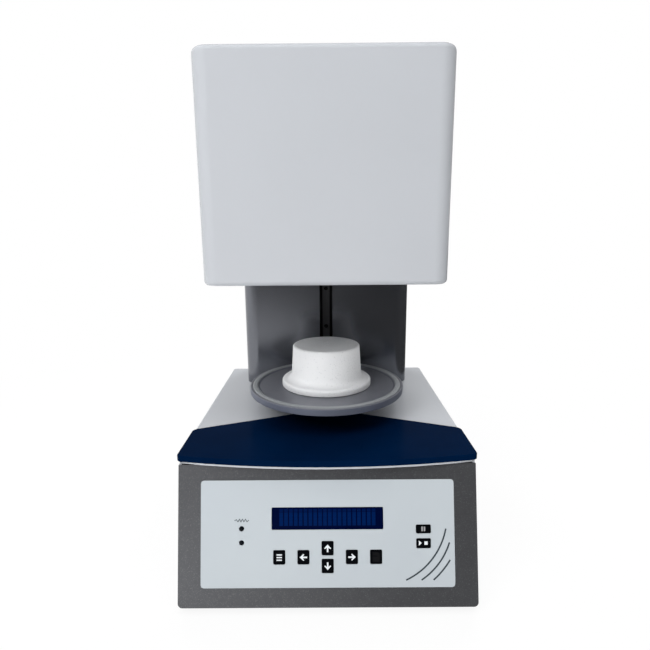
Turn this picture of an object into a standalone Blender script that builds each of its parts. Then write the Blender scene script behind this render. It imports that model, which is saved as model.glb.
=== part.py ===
"""A dental lab furnace for firing ceramics, as an assembly of its separate pieces.

Metres, +Z up. The origin is on the floor, under the middle of the base, and the front faces -Y.
A round table carries the firing plug up a slotted column, into a heated chamber in the head.
"""
import math

import bmesh
import bpy
from mathutils import Matrix, Vector

# Fits
CLEAR = 0.0003  # gap between two pieces that touch
OVERRUN = 0.004  # how far a cutter runs past the wall that it opens
RUNNING = 0.0007  # gap beside a piece that turns or slides

# Base housing
BASE_WIDTH = 0.300
BASE_DEPTH = 0.342  # from the panel's lower edge to the back
BASE_TOP = 0.1537
BASE_WALL = 0.0025
BASE_BACK_RADIUS = 0.004
BASE_EDGE_RADIUS = 0.002
LIP_THICK = 0.0022  # white lip under the front cover
LIP_SETBACK = 0.0008
FLOOR_SHEET = 0.002

# Feet
FOOT_HEIGHT = 0.008
FOOT_RADIUS = 0.011
FOOT_INSET_X = 0.035
FOOT_INSET_Y = 0.040
FOOT_STEM_RADIUS = 0.0027
FOOT_BARB_RADIUS = 0.0038
FOOT_BARB_HEIGHT = 0.003
FOOT_CHAMFER = 0.0012

# Front cover, the dark bowed plate
COVER_THICK = 0.006
COVER_OVERHANG = 0.003
COVER_REACH = 0.0126  # how far the middle of its bow stands before the panel
COVER_BOW = 0.0145
COVER_SIDE = 0.0655
COVER_SLANT = math.radians(21.5)
COVER_FRONT_RADIUS = 0.005
COVER_SIDE_RADIUS = 0.005
COVER_APEX_RADIUS = 0.030
COVER_EDGE = 0.0012
PEG_RADIUS = 0.003
PEG_LENGTH = 0.007
PEG_INSET = 0.040
PEG_FROM_SIDE_Y = 0.020

# Control panel, laid out flat and then leant back
PANEL_TILT = math.radians(14.3)
PANEL_THICK = 0.003
PANEL_CORNER = 0.0045
LABEL_WIDTH = 0.254
LABEL_HEIGHT = 0.106
LABEL_UP = 0.0198  # lower edge of the label above the panel's
LABEL_CORNER = 0.003
LABEL_THICK = 0.0005
DISPLAY_WIDTH = 0.1115
DISPLAY_HEIGHT = 0.0217
DISPLAY_UP = 0.0877
DISPLAY_CORNER = 0.001
DISPLAY_PROUD = 0.0005
MODULE_MARGIN = 0.0035
MODULE_DEPTH = 0.007
MODULE_BOARD_MARGIN = 0.0028
BOARD_THICK = 0.0016

# Keys
KEY_WIDTH = 0.0116
KEY_HEIGHT = 0.0137
KEY_CORNER = 0.0012
KEY_PITCH = 0.0242
KEY_ROW_UP = 0.0497
ARROW_RISE = 0.0087
KEY_PROUD = 0.0012
KEY_EDGE = 0.0003
KEY_TRAVEL = 0.0004
KEY_FLANGE = 0.001
KEY_FLANGE_THICK = 0.0009
PROGRAM_KEY_X = 0.096
PAUSE_WIDTH = 0.0146
PAUSE_HEIGHT = 0.0083
PAUSE_UP = 0.0768
START_WIDTH = 0.0142
START_HEIGHT = 0.0094
START_UP = 0.0627
SWITCH_SIDE = 0.006
SWITCH_HEIGHT = 0.003
KEYPAD_MARGIN = 0.007
POST_RADIUS = 0.0025
POST_X = 0.070

# Lamps beside the display
LAMP_X = -0.0861
LAMP_RADIUS = 0.0024
LAMP_DOME = 0.0012
LAMP_FLANGE = 0.0008
LAMP_FLANGE_THICK = 0.001
HEATING_LAMP_UP = 0.0780
VACUUM_LAMP_UP = 0.0641

# Column
COLUMN_WIDTH = 0.2347
COLUMN_DEPTH = 0.0763
COLUMN_RADIUS = 0.020
COLUMN_WALL = 0.002
COLUMN_BACK_INSET = 0.002
SLOT_WIDTH = 0.018
SLOT_FOOT = 0.0085  # lower end of the slot above the base
FRAME_HALF = 0.080
FRAME_DEPTH = 0.0277
FRAME_SHEET = 0.003
WELL_HALF = 0.100
WELL_BACK_INSET = 0.011

# Vents, rows of slots in a rear wall
VENT_WIDTH = 0.060
VENT_SPREAD = 0.045  # middle of a stack beside the middle of the column or head
COLUMN_VENT_DROP = 0.050
BASE_VENT_INSET = 0.015
BASE_VENT_DROP = 0.038
VENT_HEIGHT = 0.004
VENT_DEPTH = 0.010
VENT_PITCH = 0.010
VENT_COUNT = 7

# Guide rail and its screws
RAIL_WIDTH = 0.0104
RAIL_DEPTH = 0.008
RAIL_GROOVE = 0.0012
RAIL_GROOVE_HALF = 0.0014
RAIL_BOTTOM = 0.135
RAIL_TOP = 0.320
RAIL_HOLE_Z = 0.1798
RAIL_HOLE_PITCH = 0.0555
RAIL_HOLE_COUNT = 3
RAIL_BORE_RADIUS = 0.0035
RAIL_BORE_DEPTH = 0.0038
RAIL_SCREW_RADIUS = 0.0030
RAIL_SHANK_RADIUS = 0.0016
RAIL_SHANK_HOLE = 0.0020
RAIL_SCREW_HEAD = 0.003
RAIL_SOCKET_RADIUS = 0.0015
RAIL_SOCKET_DEPTH = 0.0016

# Carriage, nut and lift arm
CARRIAGE_HALF = 0.015
CARRIAGE_FRONT = 0.013  # its front face before the rail's
CARRIAGE_HEIGHT = 0.044
CARRIAGE_DROP = 0.0415  # its lower face under the table's underside
EAR_HEIGHT = 0.008
EAR_DROP = 0.0237
EAR_MARGIN = 0.0035
EAR_ROOT = 0.004  # how far the ear reaches into the carriage
NUT_RADIUS = 0.0065
NUT_FLANGE_RADIUS = 0.0095
NUT_FLANGE_THICK = 0.004
NUT_LENGTH = 0.016
ARM_WIDTH = 0.014
ARM_THICK = 0.010
ARM_PLATE_THICK = 0.0035
ARM_PLATE_DROP = 0.038
HUB_RADIUS = 0.040

# Lead screw, bearings and motor
SCREW_X = 0.030
SCREW_RADIUS = 0.004
SCREW_CHAMFER = 0.0005
SCREW_BOTTOM = 0.097
SCREW_TOP = 0.3185
BEARING_RADIUS = 0.009
BEARING_HEIGHT = 0.007
BEARING_GROOVE = 0.0006
BRACKET_WALL = 0.001
BRACKET_HALF = 0.013
BRACKET_HEIGHT = 0.010
UPPER_BRACKET_TOP = 0.319
LOWER_BRACKET_TOP = 0.118
MOTOR_SIDE = 0.028
MOTOR_LENGTH = 0.045
MOTOR_TOP = 0.084
MOTOR_CORNER = 0.003
MOTOR_PLATE = 0.003
COUPLING_RADIUS = 0.008
COUPLING_TOP = 0.106
SHAFT_RADIUS = 0.0025
SHAFT_DEPTH = 0.010

# Table that the lift carries
TABLE_GAP = 0.003  # between the table's edge and the column
TABLE_RADIUS = 0.0945
TABLE_TOP = 0.1883
TABLE_THICK = 0.0076
TABLE_DISH = 0.0012
TABLE_DISH_INSET = 0.0117  # the dish's edge from the table's edge
TABLE_DISH_SLOPE = 0.0015
TABLE_EDGE = 0.0005
SEAL_INSET = 0.0062  # the seal's middle from the table's edge
SEAL_WIDTH = 0.0062
SEAL_PROUD = 0.0008
SEAL_DEPTH = 0.002
BOSS_RADIUS = 0.012
BOSS_HEIGHT = 0.0025

# Firing plug
PLUG_TOP = 0.2375
PLUG_TOP_RADIUS = 0.041
PLUG_BODY_RADIUS = 0.043
PLUG_EDGE = 0.0015
BRIM_RADIUS = 0.0549
BRIM_HEIGHT = 0.008
BRIM_ROUND = 0.003
BRIM_FILLET = 0.004
BRIM_EDGE = 0.0008
DIMPLE_RADIUS = 0.004
DIMPLE_DEPTH = 0.0015

# Head
HEAD_WIDTH = 0.2395
HEAD_DEPTH = 0.2923
HEAD_BACK_INSET = 0.002
HEAD_BOTTOM = 0.3241
HEAD_HEIGHT = 0.2140
HEAD_WALL = 0.0025
HEAD_UPRIGHT_RADIUS = 0.016
HEAD_TOP_RADIUS = 0.007
HEAD_BOTTOM_RADIUS = 0.003
HEAD_LIP = 0.001
HEAD_VENT_DROP = 0.040
HEAD_FLOOR = 0.004
MOUTH_RADIUS = 0.058
FLOOR_SETBACK = 0.004  # the steel floor's hole stands back from the hot mouth

# Chamber
CAN_RADIUS = 0.090
CAN_WALL = 0.002
CAN_FLANGE = 0.010
CAN_HEIGHT = 0.1235
CAN_NECK_RADIUS = 0.070
MUFFLE_HEIGHT = 0.107
MUFFLE_RELIEF = 0.0173  # height of the wide mouth that takes the plug's brim
COLLAR_HEIGHT = 0.016
COLLAR_RADIUS = 0.0465
HEATER_RADIUS = 0.052
LINER_WALL = 0.002
WIRE_RADIUS = 0.0012
COIL_TURNS = 5
COIL_STEPS = 16
INSULATION_TOP = 0.0134
LID_THICK = 0.003
THERMOCOUPLE_RADIUS = 0.003
THERMOCOUPLE_TIP = 0.016  # reach below the chamber's roof
THERMOCOUPLE_FLANGE = 0.009
THERMOCOUPLE_FLANGE_THICK = 0.004
THERMOCOUPLE_HEAD = 0.006
THERMOCOUPLE_HEAD_HEIGHT = 0.016

# Vacuum line and port
VACUUM_X = 0.055
VACUUM_BEHIND = 0.0048  # the line's foot behind the chamber's axis
LINE_RADIUS = 0.004
LINE_RISE = 0.026
LINE_INSET = 0.029  # the line before the column's back
LINE_BEND = 0.014
PORT_Z = 0.060
PORT_RADIUS = 0.0045
PORT_BARB = 0.0055
PORT_LENGTH = 0.020
PORT_FLANGE = 0.010
PORT_FLANGE_THICK = 0.003
PORT_STEM = 0.006
PORT_INNER = 0.008
PORT_BORE = 0.003
PORT_BARBS = 3
PORT_BARB_LENGTH = 0.0044

# Power fittings in the rear wall
POWER_Z = 0.045
INLET_INSET = 0.038  # its middle from the left side
POWER_PITCH = 0.046
SOCKET_WIDTH = 0.0275
SOCKET_HEIGHT = 0.0200
SOCKET_DEPTH = 0.016
SOCKET_FLANGE_X = 0.0035
SOCKET_FLANGE_Y = 0.003
SOCKET_FLANGE_THICK = 0.0025
SOCKET_CORNER = 0.002
SOCKET_WALL = 0.0022
SOCKET_RECESS = 0.013
PIN_WIDTH = 0.002
PIN_HEIGHT = 0.004
PIN_LENGTH = 0.009
PIN_PITCH = 0.007
PIN_RISE = 0.003
ROCKER_WIDTH = 0.013
ROCKER_HEIGHT = 0.022
ROCKER_RADIUS = 0.0125
ROCKER_ROUND_STEPS = 10
ROCKER_AXIS_DEPTH = 0.006
ROCKER_FRAME_WALL = 0.003
ROCKER_FRAME_DEPTH = 0.016
ROCKER_POCKET = 0.012
ROCKER_DISH = 0.0012
ROCKER_SWING = math.radians(8)  # to each side of square
AXLE_RADIUS = 0.0012
AXLE_REACH = 0.0015

# Electronics on the base floor
MAIN_BOARD_LENGTH = 0.120
MAIN_BOARD_DEPTH = 0.090
MAIN_BOARD_INSET = 0.015
MAIN_BOARD_BEHIND = 0.091  # its middle behind the panel's foot
STANDOFF_RADIUS = 0.003
STANDOFF_HEIGHT = 0.006
STANDOFF_INSET = 0.006
SINK_INSET = 0.020
SINK_BEHIND = 0.009  # its front behind the board's middle
SINK_DEPTH = 0.030
SINK_HEIGHT = 0.028
SINK_FIN = 0.002
SINK_GAP = 0.004
SINK_GAPS = 8
RELAY_SIDE = 0.016
RELAY_INSET = 0.021
RELAY_PITCH = 0.024
RELAY_COUNT = 3
CAPACITOR_RADIUS = 0.008
CAPACITOR_HEIGHT = 0.024
CAPACITOR_INSET = 0.020
CAPACITOR_SPREAD = 0.018
CORE_INSET = 0.026
CORE_BEHIND = 0.111
CORE_WIDTH = 0.078
CORE_DEPTH = 0.034
CORE_HEIGHT = 0.065
CORE_LIMB = 0.013
COIL_FACE = 0.010  # how far the winding stands out of the core on each side

# Facets
ROUND_STEPS = 40
INNER_STEPS = 24
SMALL_STEPS = 12
ARC_STEPS = 5
CORNER_STEPS = 2

# Heights and places that follow from the sizes above
PORT_REACH = CLEAR + PORT_FLANGE_THICK + PORT_LENGTH
BACK = (BASE_DEPTH - PORT_REACH) / 2
FRONT = BACK - BASE_DEPTH
LIP_TOP = BASE_TOP - COVER_THICK - CLEAR
LIP_BOTTOM = LIP_TOP - LIP_THICK
FLOOR_TOP = FOOT_HEIGHT + CLEAR + FLOOR_SHEET
COVER_FRONT = FRONT + (LIP_TOP - FOOT_HEIGHT) * math.tan(PANEL_TILT) - COVER_REACH
COVER_CORNER_Y = COVER_FRONT + COVER_BOW
COVER_SIDE_Y = COVER_CORNER_Y + COVER_SIDE
PANEL_HEIGHT = (LIP_BOTTOM - CLEAR - FOOT_HEIGHT) / math.cos(PANEL_TILT)
PANEL_BEHIND = (PANEL_THICK + CLEAR) / math.cos(PANEL_TILT)
FLANGE_TOP = -PANEL_THICK - CLEAR
SWITCH_TOP = FLANGE_TOP - KEY_FLANGE_THICK - KEY_TRAVEL - CLEAR
KEYPAD_TOP = SWITCH_TOP - SWITCH_HEIGHT
COLUMN_BOTTOM = BASE_TOP + CLEAR
COLUMN_TOP = HEAD_BOTTOM - CLEAR
COLUMN_BACK = BACK - COLUMN_BACK_INSET
COLUMN_FRONT = COLUMN_BACK - COLUMN_DEPTH
COLUMN_INSIDE = COLUMN_FRONT + COLUMN_WALL
CARRIAGE_FACE = COLUMN_INSIDE + RUNNING + ARM_PLATE_THICK + CLEAR
RAIL_FRONT = CARRIAGE_FACE + CARRIAGE_FRONT
RAIL_BACK = RAIL_FRONT + RAIL_DEPTH
FRAME_FRONT = RAIL_BACK + CLEAR
SCREW_Y = COLUMN_INSIDE + RUNNING + BRACKET_WALL + BEARING_RADIUS
TABLE_Y = COLUMN_FRONT - TABLE_GAP - TABLE_RADIUS
TABLE_DISH_RADIUS = TABLE_RADIUS - TABLE_DISH_INSET
SEAL_RADIUS = TABLE_RADIUS - SEAL_INSET
TABLE_UNDER = TABLE_TOP - TABLE_THICK
TABLE_DISC = TABLE_TOP - TABLE_DISH
CARRIAGE_BOTTOM = TABLE_UNDER - CARRIAGE_DROP
EAR_BOTTOM = TABLE_UNDER - EAR_DROP
EAR_TOP = EAR_BOTTOM + EAR_HEIGHT
ARM_TOP = TABLE_UNDER - CLEAR
HEAD_BACK = BACK - HEAD_BACK_INSET
HEAD_FRONT = HEAD_BACK - HEAD_DEPTH
HEAD_TOP = HEAD_BOTTOM + HEAD_HEIGHT
HEAD_FLOOR_BOTTOM = HEAD_BOTTOM + CLEAR
HEAD_FLOOR_TOP = HEAD_FLOOR_BOTTOM + HEAD_FLOOR
CHAMBER_BOTTOM = HEAD_FLOOR_TOP + CLEAR
CAN_TOP = CHAMBER_BOTTOM + CAN_HEIGHT
MUFFLE_TOP = CHAMBER_BOTTOM + MUFFLE_HEIGHT
LEDGE = CHAMBER_BOTTOM + MUFFLE_RELIEF + COLLAR_HEIGHT
LID_TOP = CAN_TOP + CLEAR + LID_THICK
COIL_RADIUS = HEATER_RADIUS * math.cos(math.pi / INNER_STEPS) - CLEAR - WIRE_RADIUS
PEG_X = BASE_WIDTH / 2 - PEG_INSET
BASE_VENT_X = BASE_WIDTH / 2 - BASE_VENT_INSET - VENT_WIDTH / 2
INLET_X = INLET_INSET - BASE_WIDTH / 2
SWITCH_X = INLET_X + POWER_PITCH
OUTLET_X = SWITCH_X + POWER_PITCH
MAIN_BOARD_X = MAIN_BOARD_INSET + (MAIN_BOARD_LENGTH - BASE_WIDTH) / 2
CORE_X = (BASE_WIDTH - CORE_WIDTH) / 2 - CORE_INSET
VACUUM_Y = TABLE_Y + VACUUM_BEHIND
LINE_BACK_Y = COLUMN_BACK - LINE_INSET
MAIN_BOARD_Y = FRONT + MAIN_BOARD_BEHIND
CORE_Y = FRONT + CORE_BEHIND

# The six keys in the middle and the two at the right: x, height up the panel, width, height
KEYS = {
    "key_text": (-2 * KEY_PITCH, KEY_ROW_UP, KEY_WIDTH, KEY_HEIGHT),
    "key_left": (-KEY_PITCH, KEY_ROW_UP, KEY_WIDTH, KEY_HEIGHT),
    "key_up": (0, KEY_ROW_UP + ARROW_RISE, KEY_WIDTH, KEY_HEIGHT),
    "key_down": (0, KEY_ROW_UP - ARROW_RISE, KEY_WIDTH, KEY_HEIGHT),
    "key_right": (KEY_PITCH, KEY_ROW_UP, KEY_WIDTH, KEY_HEIGHT),
    "key_enter": (2 * KEY_PITCH, KEY_ROW_UP, KEY_WIDTH, KEY_HEIGHT),
    "key_pause": (PROGRAM_KEY_X, PAUSE_UP, PAUSE_WIDTH, PAUSE_HEIGHT),
    "key_start": (PROGRAM_KEY_X, START_UP, START_WIDTH, START_HEIGHT),
}
LAMPS = {
    "heating_lamp": (LAMP_X, HEATING_LAMP_UP),
    "vacuum_lamp": (LAMP_X, VACUUM_LAMP_UP),
}


# Scene, collections and finishes


def start_scene():
    """Empties the scene, and makes one collection for the pieces and one for the cutters."""
    for old in list(bpy.data.objects):
        bpy.data.objects.remove(old)
    parts = bpy.data.collections.new("dental_lab_furnace")
    cutters = bpy.data.collections.new("cutters")
    for group in (parts, cutters):
        bpy.context.scene.collection.children.link(group)
    return parts, cutters


PARTS, CUTTERS = start_scene()


def finish(name, colour, roughness, metallic=0.0):
    """A Principled material. The colour is a screen value, such as 0xD1D3D7."""
    channels = [(colour >> shift & 255) / 255 for shift in (16, 8, 0)]
    made = bpy.data.materials.new(name)
    made.use_nodes = True
    shader = made.node_tree.nodes["Principled BSDF"]
    shader.inputs["Base Color"].default_value = (*[share**2.2 for share in channels], 1)
    shader.inputs["Roughness"].default_value = roughness
    shader.inputs["Metallic"].default_value = metallic
    return made


WHITE_PAINT = finish("white_paint", 0xD3D6DA, 0.25)
NAVY_GLOSS = finish("navy_gloss", 0x00122F, 0.12)
GREY_METALLIC = finish("grey_metallic", 0x6A6E72, 0.4, 0.3)
COLUMN_GREY = finish("column_grey", 0x4C4C50, 0.45, 0.3)
LABEL_FILM = finish("label_film", 0xC9CFD3, 0.5)
DISPLAY_BLUE = finish("display_blue", 0x012050, 0.1)
KEY_BLACK = finish("key_black", 0x15171C, 0.35)
LAMP_CLEAR = finish("lamp_clear", 0x3E4A30, 0.2)
BOARD_GREEN = finish("board_green", 0x1E5B38, 0.5)
STEEL = finish("steel", 0xA4A7AA, 0.35, 1.0)
DARK_STEEL = finish("dark_steel", 0x55585E, 0.35, 0.9)
ALUMINIUM = finish("aluminium", 0xB4B8BC, 0.4, 0.9)
BRONZE = finish("bronze", 0xA67C42, 0.35, 1.0)
COPPER = finish("copper", 0xB0704A, 0.35, 1.0)
BLACK_PLASTIC = finish("black_plastic", 0x1A1B1D, 0.45)
RUBBER = finish("rubber", 0x202124, 0.8)
SILICONE = finish("silicone", 0x9A9EA0, 0.5)
TABLE_GREY = finish("table_grey", 0x66686C, 0.4, 0.6)
CERAMIC_FIBRE = finish("ceramic_fibre", 0xE4E6E9, 0.9)
QUARTZ = finish("quartz", 0xE8ECEF, 0.08)
HEATER_WIRE = finish("heater_wire", 0x6B5A4E, 0.5, 0.9)


# Ways to make a piece


def add_object(name, mesh, look, place, parent):
    """Puts a mesh in the scene. A piece has a finish, and what has none is a cutter."""
    piece = bpy.data.objects.new(name, mesh)
    piece.location = place
    piece.parent = parent
    if look is None:
        CUTTERS.objects.link(piece)
        piece.hide_render = True
        piece.display_type = "WIRE"
        return piece
    PARTS.objects.link(piece)
    mesh.materials.clear()
    mesh.materials.append(look)
    return piece


def mesh_of(name, shape):
    """Ends a bmesh as a mesh, smooth except at its sharp edges."""
    mesh = bpy.data.meshes.new(name)
    shape.to_mesh(mesh)
    shape.free()
    mesh.shade_smooth()
    mesh.set_sharp_from_angle(angle=math.radians(40))
    return mesh


def bevel(shape, edges, radius, segments=ARC_STEPS):
    """Rounds some edges of a bmesh."""
    if radius > 0:
        bmesh.ops.bevel(
            shape, geom=edges, offset=radius, segments=segments, profile=0.5, affect="EDGES",
            clamp_overlap=True,
        )


def edges_at(shape, height):
    """The edges of a bmesh that lie level at a height."""
    near = CLEAR / 10
    return [edge for edge in shape.edges if all(abs(vert.co.z - height) < near for vert in edge.verts)]


def upright_edges(shape, chosen=lambda middle: True):
    """The edges that stand upright, and whose middle is chosen."""
    near = CLEAR / 10
    picked = []
    for edge in shape.edges:
        run = edge.verts[0].co - edge.verts[1].co
        middle = (edge.verts[0].co + edge.verts[1].co) / 2
        if run.xy.length < near and chosen(middle):
            picked.append(edge)
    return picked


def block_shape(low, high):
    """A bmesh block between two corners."""
    low, high = Vector(low), Vector(high)
    shape = bmesh.new()
    bmesh.ops.create_cube(shape, size=1)
    bmesh.ops.scale(shape, vec=high - low, verts=shape.verts)
    bmesh.ops.translate(shape, vec=(high + low) / 2, verts=shape.verts)
    return shape


def block(name, low, high, look=None, place=(0, 0, 0), parent=None, upright=0, top=0):
    """A block between two corners, with its upright and its top edges rounded if asked."""
    shape = block_shape(low, high)
    bevel(shape, upright_edges(shape), upright, ARC_STEPS)
    bevel(shape, edges_at(shape, high[2]), top, ARC_STEPS // 2)
    return add_object(name, mesh_of(name, shape), look, place, parent)


def rounded(corners, steps=ARC_STEPS):
    """The points of an outline given as corners of (x, y, radius), each replaced by its arc."""
    points = []
    for index, (x, y, radius) in enumerate(corners):
        here = Vector((x, y))
        if radius <= 0:
            points.append(here)
            continue
        to_last = (Vector(corners[index - 1][:2]) - here).normalized()
        to_next = (Vector(corners[(index + 1) % len(corners)][:2]) - here).normalized()
        half = to_last.angle(to_next) / 2
        centre = here + (to_last + to_next).normalized() * radius / math.sin(half)
        first = here + to_last * radius / math.tan(half) - centre
        last = here + to_next * radius / math.tan(half) - centre
        start = math.atan2(first.y, first.x)
        sweep = (math.atan2(last.y, last.x) - start + math.pi) % (2 * math.pi) - math.pi
        for step in range(steps + 1):
            angle = start + sweep * step / steps
            points.append(centre + radius * Vector((math.cos(angle), math.sin(angle))))
    return points


def rectangle(width, height, corner=0, middle=(0, 0)):
    """A rectangle's outline with round corners."""
    x, y = middle
    left, right = x - width / 2, x + width / 2
    low, high = y - height / 2, y + height / 2
    corners = [(left, low, corner), (right, low, corner), (right, high, corner), (left, high, corner)]
    return rounded(corners, CORNER_STEPS)


def circle(radius, middle=(0, 0), steps=ROUND_STEPS):
    """A circle's outline."""
    turns = [2 * math.pi * step / steps for step in range(steps)]
    return [Vector(middle) + radius * Vector((math.cos(turn), math.sin(turn))) for turn in turns]


def mesh_from_curve(drawn):
    """Makes a curve object a mesh, welds its caps, and removes the curve."""
    bpy.context.scene.collection.objects.link(drawn)
    solid = drawn.evaluated_get(bpy.context.evaluated_depsgraph_get())
    mesh = bpy.data.meshes.new_from_object(solid)
    curve = drawn.data
    bpy.data.objects.remove(drawn)
    bpy.data.curves.remove(curve)
    shape = bmesh.new()
    shape.from_mesh(mesh)
    bpy.data.meshes.remove(mesh)
    bmesh.ops.remove_doubles(shape, verts=shape.verts, dist=CLEAR / 100)
    bmesh.ops.recalc_face_normals(shape, faces=shape.faces)
    return shape


def sheet(name, loops, low, high, look=None, place=(0, 0, 0), parent=None, edge=0):
    """A flat outline with its holes, from one height to another, its top edges eased if asked."""
    curve = bpy.data.curves.new(name, "CURVE")
    curve.dimensions = "2D"
    curve.fill_mode = "BOTH"
    curve.extrude = (high - low) / 2
    for loop in loops:
        spline = curve.splines.new("POLY")
        spline.points.add(len(loop) - 1)
        spline.use_cyclic_u = True
        for point, (x, y) in zip(spline.points, loop):
            point.co = (x, y, 0, 1)
    shape = mesh_from_curve(bpy.data.objects.new(name, curve))
    bmesh.ops.translate(shape, vec=(0, 0, (high + low) / 2), verts=shape.verts)
    if edge > 0:
        rim = [one for one in edges_at(shape, high) if one.calc_face_angle(0) > math.radians(60)]
        bevel(shape, rim, edge, ARC_STEPS // 3)
    return add_object(name, mesh_of(name, shape), look, place, parent)


def turned(name, profile, look=None, place=(0, 0, 0), parent=None, steps=INNER_STEPS):
    """A profile of (radius, height) points turned about Z, listed down its outer side."""
    shape = bmesh.new()
    verts = [shape.verts.new((radius, 0, height)) for radius, height in profile]
    for above, below in zip(verts, verts[1:]):
        shape.edges.new((above, below))
    if profile[0][0] > 0:
        shape.edges.new((verts[-1], verts[0]))
    mesh = bpy.data.meshes.new(name)
    shape.to_mesh(mesh)
    shape.free()
    piece = add_object(name, mesh, look, place, parent)
    spin = piece.modifiers.new("turn", "SCREW")
    spin.steps = spin.render_steps = steps
    spin.use_merge_vertices = True
    spin.merge_threshold = CLEAR / 100
    spin.use_smooth_shade = True
    return piece


def pipe(name, points, radius, look, place=(0, 0, 0)):
    """A round wire or tube along points, with filled ends."""
    curve = bpy.data.curves.new(name, "CURVE")
    curve.dimensions = "3D"
    curve.bevel_depth = radius
    curve.bevel_resolution = 1
    curve.use_fill_caps = True
    spline = curve.splines.new("POLY")
    spline.points.add(len(points) - 1)
    for point, where in zip(spline.points, points):
        point.co = (*where, 1)
    shape = mesh_from_curve(bpy.data.objects.new(name, curve))
    return add_object(name, mesh_of(name, shape), look, place, None)


def combine(piece, other, operation):
    """Cuts another solid out of a piece, or joins it on."""
    change = piece.modifiers.new(other.name, "BOOLEAN")
    change.operation = operation
    change.object = other
    change.solver = "EXACT"


def cut(piece, *others):
    for other in others:
        combine(piece, other, "DIFFERENCE")


def fuse(piece, *others):
    for other in others:
        combine(piece, other, "UNION")


def many_blocks(name, corners, parent=None):
    """One cutter of several blocks that don't meet, each given by its two corners."""
    shape = bmesh.new()
    for low, high in corners:
        one = block_shape(low, high)
        mesh = bpy.data.meshes.new(name)
        one.to_mesh(mesh)
        one.free()
        shape.from_mesh(mesh)
        bpy.data.meshes.remove(mesh)
    return add_object(name, mesh_of(name, shape), None, (0, 0, 0), parent)


def empty(name, place, turn):
    """An empty that carries pieces laid out in its own flat frame."""
    made = bpy.data.objects.new(name, None)
    made.location = place
    made.rotation_euler = turn
    made.empty_display_size = FOOT_RADIUS
    PARTS.objects.link(made)
    return made


# Laid out on the panel: X to the right, Y up the slope, Z outwards
PANEL_FRAME = empty("panel_frame", (0, FRONT, FOOT_HEIGHT), (math.pi / 2 - PANEL_TILT, 0, 0))


def rear_frame(name, x, z):
    """Laid out on the rear wall: X to the left of the object's own right, Y up, Z outwards."""
    return empty(name, (x, BACK, z), (math.pi / 2, 0, math.pi))


INLET_FRAME = rear_frame("inlet_frame", INLET_X, POWER_Z)
SWITCH_FRAME = rear_frame("switch_frame", SWITCH_X, POWER_Z)
OUTLET_FRAME = rear_frame("outlet_frame", OUTLET_X, POWER_Z)
PORT_FRAME = rear_frame("port_frame", VACUUM_X, PORT_Z)


# Base


def cover_outline(side, front, back):
    """The front cover's outline, grown sideways, forwards and backwards."""
    half = BASE_WIDTH / 2 + COVER_OVERHANG + side
    corner, middle = COVER_CORNER_Y - front, COVER_FRONT - front
    bow = corner - middle
    radius = (half * half + bow * bow) / (2 * bow)
    spread = math.asin(half / radius)
    arc = []
    for step in range(1, 2 * ARC_STEPS):
        angle = spread * (step / ARC_STEPS - 1)
        arc.append((radius * math.sin(angle), middle + radius * (1 - math.cos(angle)), 0))
    side_y = COVER_SIDE_Y + back / math.cos(COVER_SLANT) - side * math.tan(COVER_SLANT)
    apex = side_y + half * math.tan(COVER_SLANT)
    front_edge = [(-half, corner, COVER_FRONT_RADIUS), *arc, (half, corner, COVER_FRONT_RADIUS)]
    right_side, left_side = (half, side_y, COVER_SIDE_RADIUS), (-half, side_y, COVER_SIDE_RADIUS)
    return rounded([*front_edge, right_side, (0, apex, COVER_APEX_RADIUS), left_side])


def sloped_block(name, half, bottom, top, back, behind, look=None, edge=0, back_radius=0):
    """A block whose front leans back with the panel, at a distance behind the panel's face."""
    shape = block_shape((-half, FRONT, bottom), (half, back, top))
    for vert in shape.verts:
        if vert.co.y < 0:
            vert.co.y = FRONT + behind + (vert.co.z - FOOT_HEIGHT) * math.tan(PANEL_TILT)
    bevel(shape, upright_edges(shape, lambda middle: middle.y > 0), back_radius)
    bevel(shape, edges_at(shape, top), edge, ARC_STEPS // 2)
    return add_object(name, mesh_of(name, shape), look, (0, 0, 0), None)


def vent_blocks(x, top):
    """A stack of level slots through the rear walls."""
    rows = []
    for row in range(VENT_COUNT):
        z = top - row * VENT_PITCH
        low = (x - VENT_WIDTH / 2, BACK - VENT_DEPTH, z - VENT_HEIGHT)
        rows.append((low, (x + VENT_WIDTH / 2, BACK + OVERRUN, z)))
    return rows


def vent_pair(spread, top):
    """Two stacks of slots, side by side."""
    return vent_blocks(-spread, top) + vent_blocks(spread, top)


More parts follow.
